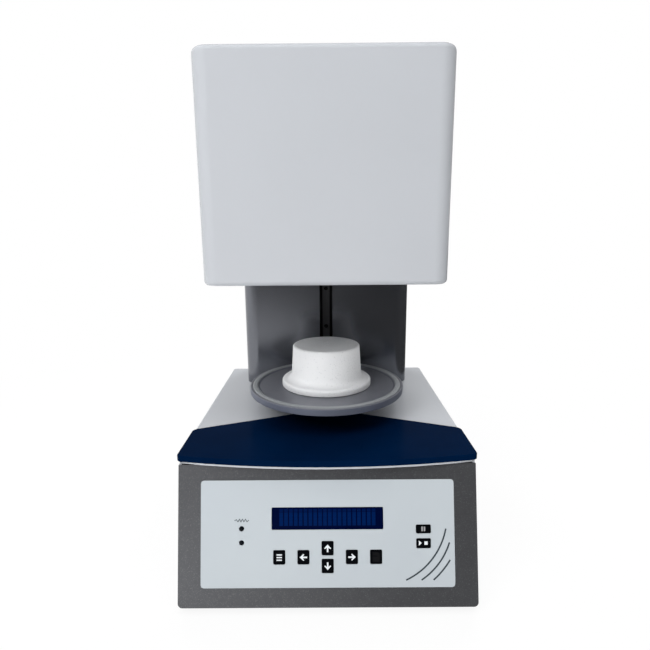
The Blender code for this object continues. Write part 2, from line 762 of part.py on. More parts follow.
def make_base_housing():
    """White housing, open below and in front, with a step for the front cover."""
    half = BASE_WIDTH / 2
    housing = sloped_block(
        "base_housing", half, FOOT_HEIGHT, BASE_TOP, BACK, PANEL_BEHIND, WHITE_PAINT, BASE_EDGE_RADIUS,
        BASE_BACK_RADIUS,
    )
    step = CLEAR + BASE_WALL
    fuse(housing, sheet("lip", [cover_outline(-COVER_OVERHANG, -LIP_SETBACK, step)], LIP_BOTTOM, LIP_TOP))
    cut(housing, sheet("cover_step", [cover_outline(OVERRUN, OVERRUN, CLEAR)], LIP_TOP, BASE_TOP + OVERRUN))
    inner = half - BASE_WALL
    inner_back = BACK - BASE_WALL
    inner_radius = BASE_BACK_RADIUS - BASE_WALL
    front_cavity = sloped_block(
        "front_cavity", inner, FOOT_HEIGHT - OVERRUN, LIP_BOTTOM, inner_back, -OVERRUN, None, 0, inner_radius
    )
    cut(housing, front_cavity)
    slope = inner * math.tan(COVER_SLANT)
    apex = COVER_SIDE_Y + (half + COVER_OVERHANG) * math.tan(COVER_SLANT) + step / math.cos(COVER_SLANT)
    rear = rounded(
        [
            (-inner, apex - slope, 0),
            (0, apex, COVER_APEX_RADIUS),
            (inner, apex - slope, 0),
            (inner, inner_back, inner_radius),
            (-inner, inner_back, inner_radius),
        ]
    )
    cut(housing, sheet("rear_cavity", [rear], LIP_BOTTOM - OVERRUN, BASE_TOP - BASE_WALL))
    low = (-WELL_HALF, COLUMN_INSIDE, BASE_TOP - BASE_WALL - OVERRUN)
    cut(housing, block("column_well", low, (WELL_HALF, BACK - WELL_BACK_INSET, BASE_TOP + OVERRUN)))
    openings = [
        (INLET_FRAME, SOCKET_WIDTH, SOCKET_HEIGHT),
        (OUTLET_FRAME, SOCKET_WIDTH, SOCKET_HEIGHT),
        (SWITCH_FRAME, ROCKER_WIDTH + 2 * ROCKER_FRAME_WALL, ROCKER_HEIGHT + 2 * ROCKER_FRAME_WALL),
    ]
    for frame, width, height in openings:
        hole = rectangle(width + 2 * CLEAR, height + 2 * CLEAR)
        cut(housing, sheet(frame.name + "_hole", [hole], -BASE_WALL - OVERRUN, OVERRUN, parent=frame))
    port = circle(PORT_STEM + CLEAR, (0, 0), SMALL_STEPS)
    cut(housing, sheet("port_hole", [port], -BASE_WALL - OVERRUN, OVERRUN, parent=PORT_FRAME))
    pegs = [circle(PEG_RADIUS + CLEAR, spot, SMALL_STEPS) for spot in peg_spots()]
    cut(housing, sheet("peg_holes", pegs, LIP_BOTTOM - OVERRUN, LIP_TOP + OVERRUN))
    cut(housing, many_blocks("base_vents", vent_blocks(BASE_VENT_X, BASE_TOP - BASE_VENT_DROP)))
    return housing


def peg_spots():
    return [(side * PEG_X, COVER_SIDE_Y - PEG_FROM_SIDE_Y) for side in (-1, 1)]


def make_front_cover():
    """Dark cover with a bowed front edge, held by two pegs under it."""
    cover = sheet(
        "front_cover", [cover_outline(0, 0, 0)], LIP_TOP + CLEAR, BASE_TOP, NAVY_GLOSS, edge=COVER_EDGE
    )
    pegs = [circle(PEG_RADIUS, spot, SMALL_STEPS) for spot in peg_spots()]
    fuse(cover, sheet("pegs", pegs, LIP_TOP - PEG_LENGTH, LIP_TOP + COVER_THICK / 2))


def foot_spots():
    x = BASE_WIDTH / 2 - FOOT_INSET_X
    rows = (FRONT + FOOT_INSET_Y, BACK - FOOT_INSET_Y)
    return [(side * x, y) for y in rows for side in (-1, 1)]


def standoff_spots():
    x = MAIN_BOARD_LENGTH / 2 - STANDOFF_INSET
    y = MAIN_BOARD_DEPTH / 2 - STANDOFF_INSET
    return [(MAIN_BOARD_X + side * x, MAIN_BOARD_Y + end * y) for end in (-1, 1) for side in (-1, 1)]


def make_base_plate():
    """Steel floor inside the housing's rim, with standoffs for the main board."""
    half = BASE_WIDTH / 2 - BASE_WALL - CLEAR
    back = BACK - BASE_WALL - CLEAR
    front = FRONT + PANEL_BEHIND + BASE_WALL
    radius = BASE_BACK_RADIUS - BASE_WALL
    rim = rounded([(-half, front, 0), (half, front, 0), (half, back, radius), (-half, back, radius)])
    holes = [circle(FOOT_STEM_RADIUS + CLEAR, spot, SMALL_STEPS) for spot in foot_spots()]
    plate = sheet("base_plate", [rim, *holes], FLOOR_TOP - FLOOR_SHEET, FLOOR_TOP, STEEL)
    posts = [circle(STANDOFF_RADIUS, spot, SMALL_STEPS // 2) for spot in standoff_spots()]
    fuse(plate, sheet("standoffs", posts, FLOOR_TOP - FLOOR_SHEET / 2, FLOOR_TOP + STANDOFF_HEIGHT))


def make_feet():
    """Four rubber feet, each pressed through the floor by its barbed stem."""
    stem_top = FLOOR_TOP + CLEAR
    profile = [
        (0, stem_top + FOOT_BARB_HEIGHT),
        (FOOT_STEM_RADIUS, stem_top + FOOT_BARB_HEIGHT),
        (FOOT_BARB_RADIUS, stem_top),
        (FOOT_STEM_RADIUS, stem_top),
        (FOOT_STEM_RADIUS, FOOT_HEIGHT),
        (FOOT_RADIUS, FOOT_HEIGHT),
        (FOOT_RADIUS - FOOT_CHAMFER, FOOT_CHAMFER),
        (FOOT_RADIUS - 2 * FOOT_CHAMFER, 0),
        (0, 0),
    ]
    for number, (x, y) in enumerate(foot_spots(), 1):
        turned(f"foot_{number}", profile, RUBBER, (x, y, 0), steps=SMALL_STEPS)


# Control panel


def key_loops(grow):
    """The outlines of the display, the keys and the lamps, grown by a gap."""
    loops = [
        rectangle(DISPLAY_WIDTH + 2 * grow, DISPLAY_HEIGHT + 2 * grow, DISPLAY_CORNER, (0, DISPLAY_UP))
    ]
    for x, up, width, height in KEYS.values():
        loops.append(rectangle(width + 2 * grow, height + 2 * grow, KEY_CORNER, (x, up)))
    for spot in LAMPS.values():
        loops.append(circle(LAMP_RADIUS + grow, spot, SMALL_STEPS))
    return loops


def make_panel():
    """Metallic front plate and the film label on it, both open for the display, keys and lamps."""
    half = BASE_WIDTH / 2
    face = rounded(
        [(-half, 0, PANEL_CORNER), (half, 0, PANEL_CORNER), (half, PANEL_HEIGHT, 0), (-half, PANEL_HEIGHT, 0)]
    )
    sheet("control_panel", [face, *key_loops(CLEAR)], -PANEL_THICK, 0, GREY_METALLIC, parent=PANEL_FRAME)
    film = rectangle(LABEL_WIDTH, LABEL_HEIGHT, LABEL_CORNER, (0, LABEL_UP + LABEL_HEIGHT / 2))
    loops = [film, *key_loops(CLEAR)]
    sheet("panel_label", loops, CLEAR, CLEAR + LABEL_THICK, LABEL_FILM, parent=PANEL_FRAME)


def make_display():
    """Clear window in the panel, and the display module behind it on its board."""
    spot = (0, DISPLAY_UP)
    glass = rectangle(DISPLAY_WIDTH, DISPLAY_HEIGHT, DISPLAY_CORNER, spot)
    sheet("display_window", [glass], -PANEL_THICK, DISPLAY_PROUD, DISPLAY_BLUE, parent=PANEL_FRAME)
    width = DISPLAY_WIDTH + 2 * MODULE_MARGIN
    height = DISPLAY_HEIGHT + 2 * MODULE_MARGIN
    top = -PANEL_THICK - CLEAR
    foot = top - MODULE_DEPTH
    case = rectangle(width, height, 0, spot)
    module = sheet("display_module", [case], foot, top, BLACK_PLASTIC, parent=PANEL_FRAME)
    board = rectangle(width + 2 * MODULE_BOARD_MARGIN, height + 2 * MODULE_BOARD_MARGIN, 0, spot)
    fuse(module, sheet("module_board", [board], foot - BOARD_THICK, foot + BOARD_THICK, parent=PANEL_FRAME))


def make_keys():
    """Key caps that stand through the film, each kept in by a flange behind the panel."""
    foot = FLANGE_TOP - KEY_FLANGE_THICK
    reach = 2 * (CLEAR + KEY_FLANGE)
    for name, (x, up, width, height) in KEYS.items():
        place = (x, up, 0)
        cap = rectangle(width, height, KEY_CORNER)
        flange = rectangle(width + reach, height + reach)
        middle = foot + KEY_FLANGE_THICK / 2
        key = sheet(name, [cap], middle, KEY_PROUD, KEY_BLACK, place, PANEL_FRAME, KEY_EDGE)
        fuse(key, sheet(name + "_flange", [flange], foot, FLANGE_TOP, None, place, PANEL_FRAME))


def make_lamps():
    """Two lamp lenses, standing on the keypad board behind the panel."""
    profile = [(0, LAMP_DOME + LABEL_THICK)]
    for step in range(1, ARC_STEPS // 2 + 1):
        angle = math.pi / 2 * step / (ARC_STEPS // 2)
        profile.append((LAMP_RADIUS * math.sin(angle), LABEL_THICK + LAMP_DOME * math.cos(angle)))
    bottom = KEYPAD_TOP + CLEAR
    rim = LAMP_RADIUS + LAMP_FLANGE
    ledge = bottom + LAMP_FLANGE_THICK
    profile += [(LAMP_RADIUS, ledge), (rim, ledge), (rim, bottom), (0, bottom)]
    for name, (x, up) in LAMPS.items():
        turned(name, profile, LAMP_CLEAR, (x, up, 0), PANEL_FRAME, SMALL_STEPS)


def make_keypad_board():
    """U-shaped board under the display, with a switch under each key and posts to the panel."""
    left = LAMP_X - KEYPAD_MARGIN
    inner_left = LAMP_X + KEYPAD_MARGIN
    right = PROGRAM_KEY_X + PAUSE_WIDTH / 2 + KEYPAD_MARGIN
    inner_right = PROGRAM_KEY_X - PAUSE_WIDTH / 2 - KEYPAD_MARGIN
    top = PAUSE_UP + PAUSE_HEIGHT / 2 + KEYPAD_MARGIN
    middle = DISPLAY_UP - DISPLAY_HEIGHT / 2 - MODULE_MARGIN - 2 * MODULE_BOARD_MARGIN
    bottom = KEY_ROW_UP - ARROW_RISE - KEY_HEIGHT / 2 - KEYPAD_MARGIN
    outline = [(left, bottom), (right, bottom), (right, top), (inner_right, top)]
    outline += [(inner_right, middle), (inner_left, middle), (inner_left, top), (left, top)]
    under = KEYPAD_TOP - BOARD_THICK
    board = sheet("keypad_board", [outline], under, KEYPAD_TOP, BOARD_GREEN, parent=PANEL_FRAME)
    switches = [rectangle(SWITCH_SIDE, SWITCH_SIDE, 0, (x, up)) for x, up, _, _ in KEYS.values()]
    foot = KEYPAD_TOP - BOARD_THICK / 2
    fuse(board, sheet("switches", switches, foot, SWITCH_TOP, parent=PANEL_FRAME))
    ups = (bottom + KEYPAD_MARGIN, middle - KEYPAD_MARGIN)
    posts = [circle(POST_RADIUS, (side * POST_X, up), SMALL_STEPS // 2) for side in (-1, 1) for up in ups]
    fuse(board, sheet("posts", posts, foot, -PANEL_THICK - CLEAR, parent=PANEL_FRAME))


# Power fittings and electronics


def socket_body(name, frame, pins):
    """A rear power connector: a flange outside the wall, and a box with a recess inside it."""
    flange = rectangle(SOCKET_WIDTH + 2 * SOCKET_FLANGE_X, SOCKET_HEIGHT + 2 * SOCKET_FLANGE_Y, SOCKET_CORNER)
    body = sheet(name, [flange], CLEAR, CLEAR + SOCKET_FLANGE_THICK, BLACK_PLASTIC, parent=frame)
    box = rectangle(SOCKET_WIDTH, SOCKET_HEIGHT)
    fuse(body, sheet(name + "_box", [box], -SOCKET_DEPTH, CLEAR + SOCKET_FLANGE_THICK / 2, parent=frame))
    recess = rounded(
        [
            (-SOCKET_WIDTH / 2 + SOCKET_WALL, -SOCKET_HEIGHT / 2 + SOCKET_WALL, 0),
            (SOCKET_WIDTH / 2 - SOCKET_WALL, -SOCKET_HEIGHT / 2 + SOCKET_WALL, 0),
            (SOCKET_WIDTH / 2 - SOCKET_WALL, SOCKET_HEIGHT / 2 - 2 * SOCKET_WALL, 0),
            (SOCKET_WIDTH / 2 - 2 * SOCKET_WALL, SOCKET_HEIGHT / 2 - SOCKET_WALL, 0),
            (-SOCKET_WIDTH / 2 + 2 * SOCKET_WALL, SOCKET_HEIGHT / 2 - SOCKET_WALL, 0),
            (-SOCKET_WIDTH / 2 + SOCKET_WALL, SOCKET_HEIGHT / 2 - 2 * SOCKET_WALL, 0),
        ]
    )
    low, high = -SOCKET_RECESS, SOCKET_FLANGE_THICK + OVERRUN
    spots = [(-PIN_PITCH, -PIN_RISE / 2), (0, PIN_RISE / 2), (PIN_PITCH, -PIN_RISE / 2)]
    blades = [rectangle(PIN_WIDTH, PIN_HEIGHT, 0, spot) for spot in spots]
    if pins:
        cut(body, sheet(name + "_recess", [recess], low, high, parent=frame))
        fuse(body, sheet(name + "_pins", blades, low - SOCKET_WALL / 2, low + PIN_LENGTH, parent=frame))
        return
    groove = rectangle(SOCKET_WIDTH - SOCKET_WALL, SOCKET_HEIGHT - SOCKET_WALL)
    ridge = rectangle(SOCKET_WIDTH - 2 * SOCKET_WALL, SOCKET_HEIGHT - 2 * SOCKET_WALL)
    cut(body, sheet(name + "_groove", [groove, ridge], SOCKET_FLANGE_THICK / 2, high, parent=frame))
    cut(body, sheet(name + "_slots", blades, low, high, parent=frame))


def make_switch():
    """Mains switch: a framed pocket in the rear wall, and a rocker on a cross axle in it."""
    outer_x = ROCKER_WIDTH + 2 * ROCKER_FRAME_WALL
    outer_y = ROCKER_HEIGHT + 2 * ROCKER_FRAME_WALL
    flange = rectangle(outer_x + 2 * SOCKET_FLANGE_Y, outer_y + 2 * SOCKET_FLANGE_Y, SOCKET_CORNER)
    under, top = CLEAR, CLEAR + SOCKET_FLANGE_THICK
    body = sheet("switch_housing", [flange], under, top, BLACK_PLASTIC, parent=SWITCH_FRAME)
    box = rectangle(outer_x, outer_y)
    fuse(body, sheet("switch_box", [box], -ROCKER_FRAME_DEPTH, (under + top) / 2, parent=SWITCH_FRAME))
    pocket = rectangle(ROCKER_WIDTH + 2 * RUNNING, ROCKER_HEIGHT + 2 * RUNNING)
    cut(body, sheet("switch_pocket", [pocket], -ROCKER_POCKET, top + OVERRUN, parent=SWITCH_FRAME))
    half = ROCKER_WIDTH / 2
    reach = half + AXLE_REACH + RUNNING
    cut(body, across("switch_axle_hole", circle(AXLE_RADIUS + CLEAR, (0, 0), SMALL_STEPS), reach))
    rocker = across("switch_rocker", rocker_outline(), half, BLACK_PLASTIC)
    axle = circle(AXLE_RADIUS, (0, 0), SMALL_STEPS)
    fuse(rocker, across("switch_axle", axle, half + AXLE_REACH))


def across(name, outline, half, look=None):
    """An outline drawn in the switch's Y and Z, run along X to both sides of the axle's middle."""
    place = (0, 0, SOCKET_FLANGE_THICK - ROCKER_AXIS_DEPTH)
    piece = sheet(name, [outline], -half, half, look, place, SWITCH_FRAME)
    piece.rotation_euler = (math.pi / 2, 0, math.pi / 2)
    return piece


def rocker_outline():
    """The rocker, switched off: its face is dished, its back round, and it leans on its axle."""
    side = math.asin(ROCKER_HEIGHT / 2 / ROCKER_RADIUS)
    points = []
    for step in range(ROCKER_ROUND_STEPS + 1):
        angle = side * (2 * step / ROCKER_ROUND_STEPS - 1)
        points.append(ROCKER_RADIUS * Vector((math.sin(angle), math.cos(side) - math.cos(angle))))
    face = ROCKER_AXIS_DEPTH
    corner = ROCKER_HEIGHT / 2 - face * math.tan(ROCKER_SWING)
    points += [Vector((corner, face)), Vector((0, face - ROCKER_DISH)), Vector((-corner, face))]
    lean = Matrix.Rotation(ROCKER_SWING, 2)
    return [lean @ point for point in points]


def make_vacuum_port():
    """Barbed hose port in the rear wall, with a bore from end to end."""
    tip = CLEAR + PORT_FLANGE_THICK + PORT_LENGTH
    barb = PORT_BARB_LENGTH
    profile = [(PORT_BORE, tip), (PORT_RADIUS, tip)]
    for number in range(PORT_BARBS):
        foot = tip - (number + 1) * barb
        profile += [(PORT_BARB, foot), (PORT_RADIUS, foot)]
    base = CLEAR + PORT_FLANGE_THICK
    profile += [(PORT_RADIUS, base), (PORT_FLANGE, base), (PORT_FLANGE, CLEAR), (PORT_STEM, CLEAR)]
    profile += [(PORT_STEM, -BASE_WALL - PORT_INNER), (PORT_BORE, -BASE_WALL - PORT_INNER)]
    turned("vacuum_port", profile, ALUMINIUM, parent=PORT_FRAME, steps=SMALL_STEPS)


def make_vacuum_line():
    """Rigid line from the chamber's lid, down inside the column, to the rear port."""
    bottom = LID_TOP + CLEAR
    end = BACK - BASE_WALL - PORT_INNER - CLEAR
    route = rounded(
        [
            (VACUUM_Y, bottom, 0),
            (VACUUM_Y, bottom + LINE_RISE, LINE_BEND),
            (LINE_BACK_Y, bottom + LINE_RISE, LINE_BEND),
            (LINE_BACK_Y, PORT_Z, LINE_BEND),
            (end, PORT_Z, 0),
        ]
    )
    pipe("vacuum_line", [(VACUUM_X, y, z) for y, z in route], LINE_RADIUS, COPPER)


def make_main_board():
    """Main circuit board on its standoffs, with a finned heat sink, relays and capacitors."""
    bottom = FLOOR_TOP + STANDOFF_HEIGHT + CLEAR
    top = bottom + BOARD_THICK
    spot = (MAIN_BOARD_X, MAIN_BOARD_Y)
    outline = rectangle(MAIN_BOARD_LENGTH, MAIN_BOARD_DEPTH, 0, spot)
    board = sheet("main_board", [outline], bottom, top, BOARD_GREEN)
    foot = bottom + BOARD_THICK / 2
    left, near = MAIN_BOARD_X - MAIN_BOARD_LENGTH / 2, MAIN_BOARD_Y - MAIN_BOARD_DEPTH / 2
    relays = []
    for number in range(RELAY_COUNT):
        middle = (left + RELAY_INSET + number * RELAY_PITCH, near + RELAY_INSET)
        relays.append(rectangle(RELAY_SIDE, RELAY_SIDE, 0, middle))
    fuse(board, sheet("relays", relays, foot, top + RELAY_SIDE))
    cans = []
    for side in (-1, 1):
        middle = (left + MAIN_BOARD_LENGTH - CAPACITOR_INSET, MAIN_BOARD_Y + side * CAPACITOR_SPREAD)
        cans.append(circle(CAPACITOR_RADIUS, middle, SMALL_STEPS))
    fuse(board, sheet("capacitors", cans, foot, top + CAPACITOR_HEIGHT))
    make_heat_sink(left + SINK_INSET, MAIN_BOARD_Y + SINK_BEHIND, top + CLEAR)


def make_heat_sink(left, near, bottom):
    """Heat sink with upright fins, which stands on the main board."""
    far, height = near + SINK_DEPTH, bottom + SINK_HEIGHT
    width = SINK_FIN + SINK_GAPS * (SINK_GAP + SINK_FIN)
    sink = block("heat_sink", (left, near, bottom), (left + width, far, height), ALUMINIUM)
    gaps = []
    for number in range(SINK_GAPS):
        x = left + SINK_FIN + number * (SINK_GAP + SINK_FIN)
        low = (x, near - OVERRUN, bottom + SINK_FIN)
        gaps.append((low, (x + SINK_GAP, far + OVERRUN, height + OVERRUN)))
    cut(sink, many_blocks("sink_gaps", gaps))


def make_transformer():
    """Mains transformer: a laminated core with two windows, and a winding round its middle limb."""
    bottom = FLOOR_TOP + CLEAR
    low = Vector((CORE_X - CORE_WIDTH / 2, CORE_Y - CORE_DEPTH / 2, bottom))
    high = Vector((CORE_X + CORE_WIDTH / 2, CORE_Y + CORE_DEPTH / 2, bottom + CORE_HEIGHT))
    core = block("transformer_core", low, high, DARK_STEEL)
    windows = []
    for side in (-1, 1):
        near, far = CORE_LIMB, CORE_WIDTH / 2 - CORE_LIMB
        left, right = sorted((CORE_X + side * near, CORE_X + side * far))
        corner = (left, low.y - OVERRUN, low.z + CORE_LIMB)
        windows.append((corner, (right, high.y + OVERRUN, high.z - CORE_LIMB)))
    cut(core, many_blocks("core_windows", windows))
    outer_x = CORE_WIDTH / 2 - CORE_LIMB - CLEAR
    outer_y = CORE_DEPTH / 2 + COIL_FACE
    ring = rectangle(2 * outer_x, 2 * outer_y, COIL_FACE, (CORE_X, CORE_Y))
    hole = rectangle(2 * (CORE_LIMB + CLEAR), CORE_DEPTH + 2 * CLEAR, 0, (CORE_X, CORE_Y))
    sheet("transformer_coil", [ring, hole], low.z + CORE_LIMB + CLEAR, high.z - CORE_LIMB - CLEAR, COPPER)


# Column and lift


def make_column():
    """Bent front cover with the lift's slot, and the rear plate between its flanges."""
    half, inner = COLUMN_WIDTH / 2, COLUMN_WIDTH / 2 - COLUMN_WALL
    inner_radius = COLUMN_RADIUS - COLUMN_WALL
    section = rounded(
        [
            (-half, COLUMN_FRONT, COLUMN_RADIUS),
            (half, COLUMN_FRONT, COLUMN_RADIUS),
            (half, COLUMN_BACK, 0),
            (inner, COLUMN_BACK, 0),
            (inner, COLUMN_INSIDE, inner_radius),
            (-inner, COLUMN_INSIDE, inner_radius),
            (-inner, COLUMN_BACK, 0),
            (-half, COLUMN_BACK, 0),
        ]
    )
    cover = sheet("column_cover", [section], COLUMN_BOTTOM, COLUMN_TOP, COLUMN_GREY)
    low = (-SLOT_WIDTH / 2, COLUMN_FRONT - OVERRUN, BASE_TOP + SLOT_FOOT)
    cut(cover, block("slot", low, (SLOT_WIDTH / 2, COLUMN_INSIDE + OVERRUN, COLUMN_TOP + OVERRUN)))
    inner -= CLEAR
    back = block(
        "column_back",
        (-inner, COLUMN_BACK - COLUMN_WALL, COLUMN_BOTTOM),
        (inner, COLUMN_BACK, COLUMN_TOP),
        COLUMN_GREY,
    )
    top = COLUMN_TOP - COLUMN_VENT_DROP
    cut(back, many_blocks("column_vents", vent_pair(VENT_SPREAD, top)))


def screw_bracket(name, top, height, bore):
    """A bracket from the frame that holds a bearing or the motor on the screw's axis."""
    low = (SCREW_X - BRACKET_HALF, COLUMN_INSIDE + RUNNING, top - height)
    body = block(name, low, (SCREW_X + BRACKET_HALF, FRAME_FRONT + FRAME_SHEET / 2, top))
    hole = circle(bore, (SCREW_X, SCREW_Y), INNER_STEPS)
    return body, sheet(name + "_bore", [hole], top - height - OVERRUN, top + OVERRUN)


def make_column_frame():
    """Steel channel from the base floor to the head, with brackets for the screw and the motor."""
    back = FRAME_FRONT + FRAME_DEPTH
    inner = FRAME_HALF - FRAME_SHEET
    web_back = FRAME_FRONT + FRAME_SHEET
    section = [(-FRAME_HALF, FRAME_FRONT), (FRAME_HALF, FRAME_FRONT), (FRAME_HALF, back), (inner, back)]
    section += [(inner, web_back), (-inner, web_back), (-inner, back), (-FRAME_HALF, back)]
    frame = sheet("column_frame", [section], FLOOR_TOP + CLEAR, COLUMN_TOP, DARK_STEEL)
    brackets = [
        screw_bracket("upper_bracket", UPPER_BRACKET_TOP, BRACKET_HEIGHT, BEARING_RADIUS + CLEAR),
        screw_bracket("lower_bracket", LOWER_BRACKET_TOP, BRACKET_HEIGHT, BEARING_RADIUS + CLEAR),
        screw_bracket("motor_bracket", MOTOR_TOP + CLEAR + MOTOR_PLATE, MOTOR_PLATE, SHAFT_RADIUS + RUNNING),
    ]
    for body, bore in brackets:
        fuse(frame, body)
        cut(frame, bore)
    for number, z in enumerate(rail_holes(), 1):
        name = f"frame_hole_{number}"
        cut(frame, rod_y(name, RAIL_SHANK_HOLE, FRAME_FRONT - OVERRUN, web_back + OVERRUN, z))


def rail_holes():
    return [RAIL_HOLE_Z + number * RAIL_HOLE_PITCH for number in range(RAIL_HOLE_COUNT)]


def rod_y(name, radius, front, back, z):
    """A cutter rod along Y at the rail's middle."""
    rod = sheet(name, [circle(radius, (0, 0), SMALL_STEPS)], -back, -front, None, (0, 0, z))
    rod.rotation_euler = (math.pi / 2, 0, 0)
    return rod


def rail_half():
    """One half of the rail's section, from front to back, with its side groove."""
    half = RAIL_WIDTH / 2
    groove = RAIL_FRONT + RAIL_DEPTH / 2
    return [
        (half, RAIL_FRONT),
        (half, groove - RAIL_GROOVE_HALF),
        (half - RAIL_GROOVE, groove - RAIL_GROOVE_HALF / 2),
        (half - RAIL_GROOVE, groove + RAIL_GROOVE_HALF / 2),
        (half, groove + RAIL_GROOVE_HALF),
        (half, RAIL_BACK),
    ]


def make_rail():
    """Guide rail with sunk holes, and the screws that hold it to the frame."""
    right = rail_half()
    section = right + [(-x, y) for x, y in reversed(right)]
    rail = sheet("guide_rail", [section], RAIL_BOTTOM, RAIL_TOP, DARK_STEEL)
    seat = RAIL_FRONT + RAIL_BORE_DEPTH
    for number, z in enumerate(rail_holes(), 1):
        cut(
            rail,
            rod_y(f"rail_bore_{number}", RAIL_BORE_RADIUS, RAIL_FRONT - OVERRUN, seat, z),
            rod_y(f"rail_hole_{number}", RAIL_SHANK_HOLE, seat - OVERRUN, RAIL_BACK + OVERRUN, z),
        )
        under = -CLEAR
        length = RAIL_BACK + FRAME_SHEET - seat
        profile = [
            (0, RAIL_SCREW_HEAD - RAIL_SOCKET_DEPTH),
            (RAIL_SOCKET_RADIUS, RAIL_SCREW_HEAD - RAIL_SOCKET_DEPTH),
            (RAIL_SOCKET_RADIUS, RAIL_SCREW_HEAD),
            (RAIL_SCREW_RADIUS, RAIL_SCREW_HEAD),
            (RAIL_SCREW_RADIUS, 0),
            (RAIL_SHANK_RADIUS, 0),
            (RAIL_SHANK_RADIUS, -length),
            (0, -length),
        ]
        screw = turned(f"rail_screw_{number}", profile, DARK_STEEL, (0, seat + under, z), steps=SMALL_STEPS)
        screw.rotation_euler = (math.pi / 2, 0, 0)


def make_carriage():
    """Carriage that hooks into the rail's grooves, with an ear for the nut."""
    gap = CLEAR
    half = RAIL_WIDTH / 2 + gap
    groove = RAIL_FRONT + RAIL_DEPTH / 2
    lip = half - RAIL_GROOVE + gap / 3
    right = [
        (half, RAIL_FRONT - gap),
        (half, groove - RAIL_GROOVE_HALF + gap),
        (lip, groove - RAIL_GROOVE_HALF / 2 + gap),
        (lip, groove + RAIL_GROOVE_HALF / 2 - gap),
        (CARRIAGE_HALF, groove + RAIL_GROOVE_HALF / 2 - gap),
        (CARRIAGE_HALF, CARRIAGE_FACE),
    ]
    section = right + [(-x, y) for x, y in reversed(right)]
    place = (0, 0, CARRIAGE_BOTTOM)
    carriage = sheet("rail_carriage", [section], 0, CARRIAGE_HEIGHT, ALUMINIUM, place)
    reach = NUT_FLANGE_RADIUS + EAR_MARGIN
    back = groove + RAIL_GROOVE_HALF / 2 - gap
    low = (CARRIAGE_HALF - EAR_ROOT, SCREW_Y - NUT_FLANGE_RADIUS, EAR_BOTTOM - CARRIAGE_BOTTOM)
    fuse(carriage, block("ear", low, (SCREW_X + reach, back, EAR_TOP - CARRIAGE_BOTTOM), None, place))
    hole = circle(NUT_RADIUS + CLEAR, (SCREW_X, SCREW_Y), SMALL_STEPS)
    cut(carriage, sheet("ear_hole", [hole], low[2] - OVERRUN, low[2] + EAR_HEIGHT + OVERRUN, None, place))


def make_nut():
    """Bronze nut, its flange on the carriage's ear."""
    bore = SCREW_RADIUS + CLEAR
    top = CLEAR + NUT_FLANGE_THICK
    profile = [(bore, top), (NUT_FLANGE_RADIUS, top), (NUT_FLANGE_RADIUS, CLEAR), (NUT_RADIUS, CLEAR)]
    profile += [(NUT_RADIUS, top - NUT_LENGTH), (bore, top - NUT_LENGTH)]
    turned("lift_nut", profile, BRONZE, (SCREW_X, SCREW_Y, EAR_TOP), steps=SMALL_STEPS)


def make_lift_arm():
    """Arm from the carriage, through the slot, to a round hub under the table."""
    width = ARM_WIDTH / 2
    back = CARRIAGE_FACE - CLEAR
    spread = math.asin(width / HUB_RADIUS)
    hub = []
    for step in range(INNER_STEPS + 1):
        angle = math.pi / 2 + spread + (2 * math.pi - 2 * spread) * step / INNER_STEPS
        hub.append((HUB_RADIUS * math.cos(angle), HUB_RADIUS * math.sin(angle)))
    outline = hub + [(width, back - TABLE_Y), (-width, back - TABLE_Y)]
    place = (0, TABLE_Y, ARM_TOP)
    arm = sheet("lift_arm", [outline], -ARM_THICK, 0, DARK_STEEL, place)
    half = CARRIAGE_HALF - EAR_ROOT - CLEAR
    low = (-half, back - ARM_PLATE_THICK - TABLE_Y, -ARM_PLATE_DROP)
    fuse(arm, block("arm_plate", low, (half, back - TABLE_Y, 0), None, place))


def make_screw_drive():
    """Lead screw, its two bearings, the coupling and the motor under it."""
    place = (SCREW_X, SCREW_Y, 0)
    thin = SCREW_RADIUS - SCREW_CHAMFER
    profile = [(0, SCREW_TOP), (thin, SCREW_TOP), (SCREW_RADIUS, SCREW_TOP - SCREW_CHAMFER)]
    profile += [(SCREW_RADIUS, SCREW_BOTTOM + SCREW_CHAMFER), (thin, SCREW_BOTTOM), (0, SCREW_BOTTOM)]
    turned("lead_screw", profile, STEEL, place, steps=SMALL_STEPS)
    bore = SCREW_RADIUS + CLEAR
    groove = (bore + BEARING_RADIUS) / 2
    for name, top in (("upper_bearing", UPPER_BRACKET_TOP), ("lower_bearing", LOWER_BRACKET_TOP)):
        ring = [
            (bore, top),
            (groove - BEARING_GROOVE, top),
            (groove, top - BEARING_GROOVE),
            (groove + BEARING_GROOVE, top),
            (BEARING_RADIUS, top),
            (BEARING_RADIUS, top - BEARING_HEIGHT),
            (bore, top - BEARING_HEIGHT),
        ]
        turned(name, ring, STEEL, place, steps=SMALL_STEPS)
    bottom = MOTOR_TOP + CLEAR + MOTOR_PLATE + RUNNING
    socket = SCREW_BOTTOM - CLEAR
    profile = [(0, socket), (bore, socket), (bore, COUPLING_TOP), (COUPLING_RADIUS, COUPLING_TOP)]
    profile += [(COUPLING_RADIUS, bottom), (SHAFT_RADIUS, bottom), (SHAFT_RADIUS, MOTOR_TOP - SHAFT_DEPTH)]
    profile += [(0, MOTOR_TOP - SHAFT_DEPTH)]
    turned("motor_coupling", profile, ALUMINIUM, place, steps=SMALL_STEPS)
    side = MOTOR_SIDE / 2
    motor = block(
        "lift_motor",
        (-side, -side, MOTOR_TOP - MOTOR_LENGTH),
        (side, side, MOTOR_TOP),
        BLACK_PLASTIC,
        place,
        upright=MOTOR_CORNER,
    )
    shaft = circle(SHAFT_RADIUS + RUNNING, (0, 0), SMALL_STEPS)
    foot = MOTOR_TOP - SHAFT_DEPTH - CLEAR
    cut(motor, sheet("motor_bore", [shaft], foot, MOTOR_TOP + OVERRUN, None, place))


# Table, seal and plug


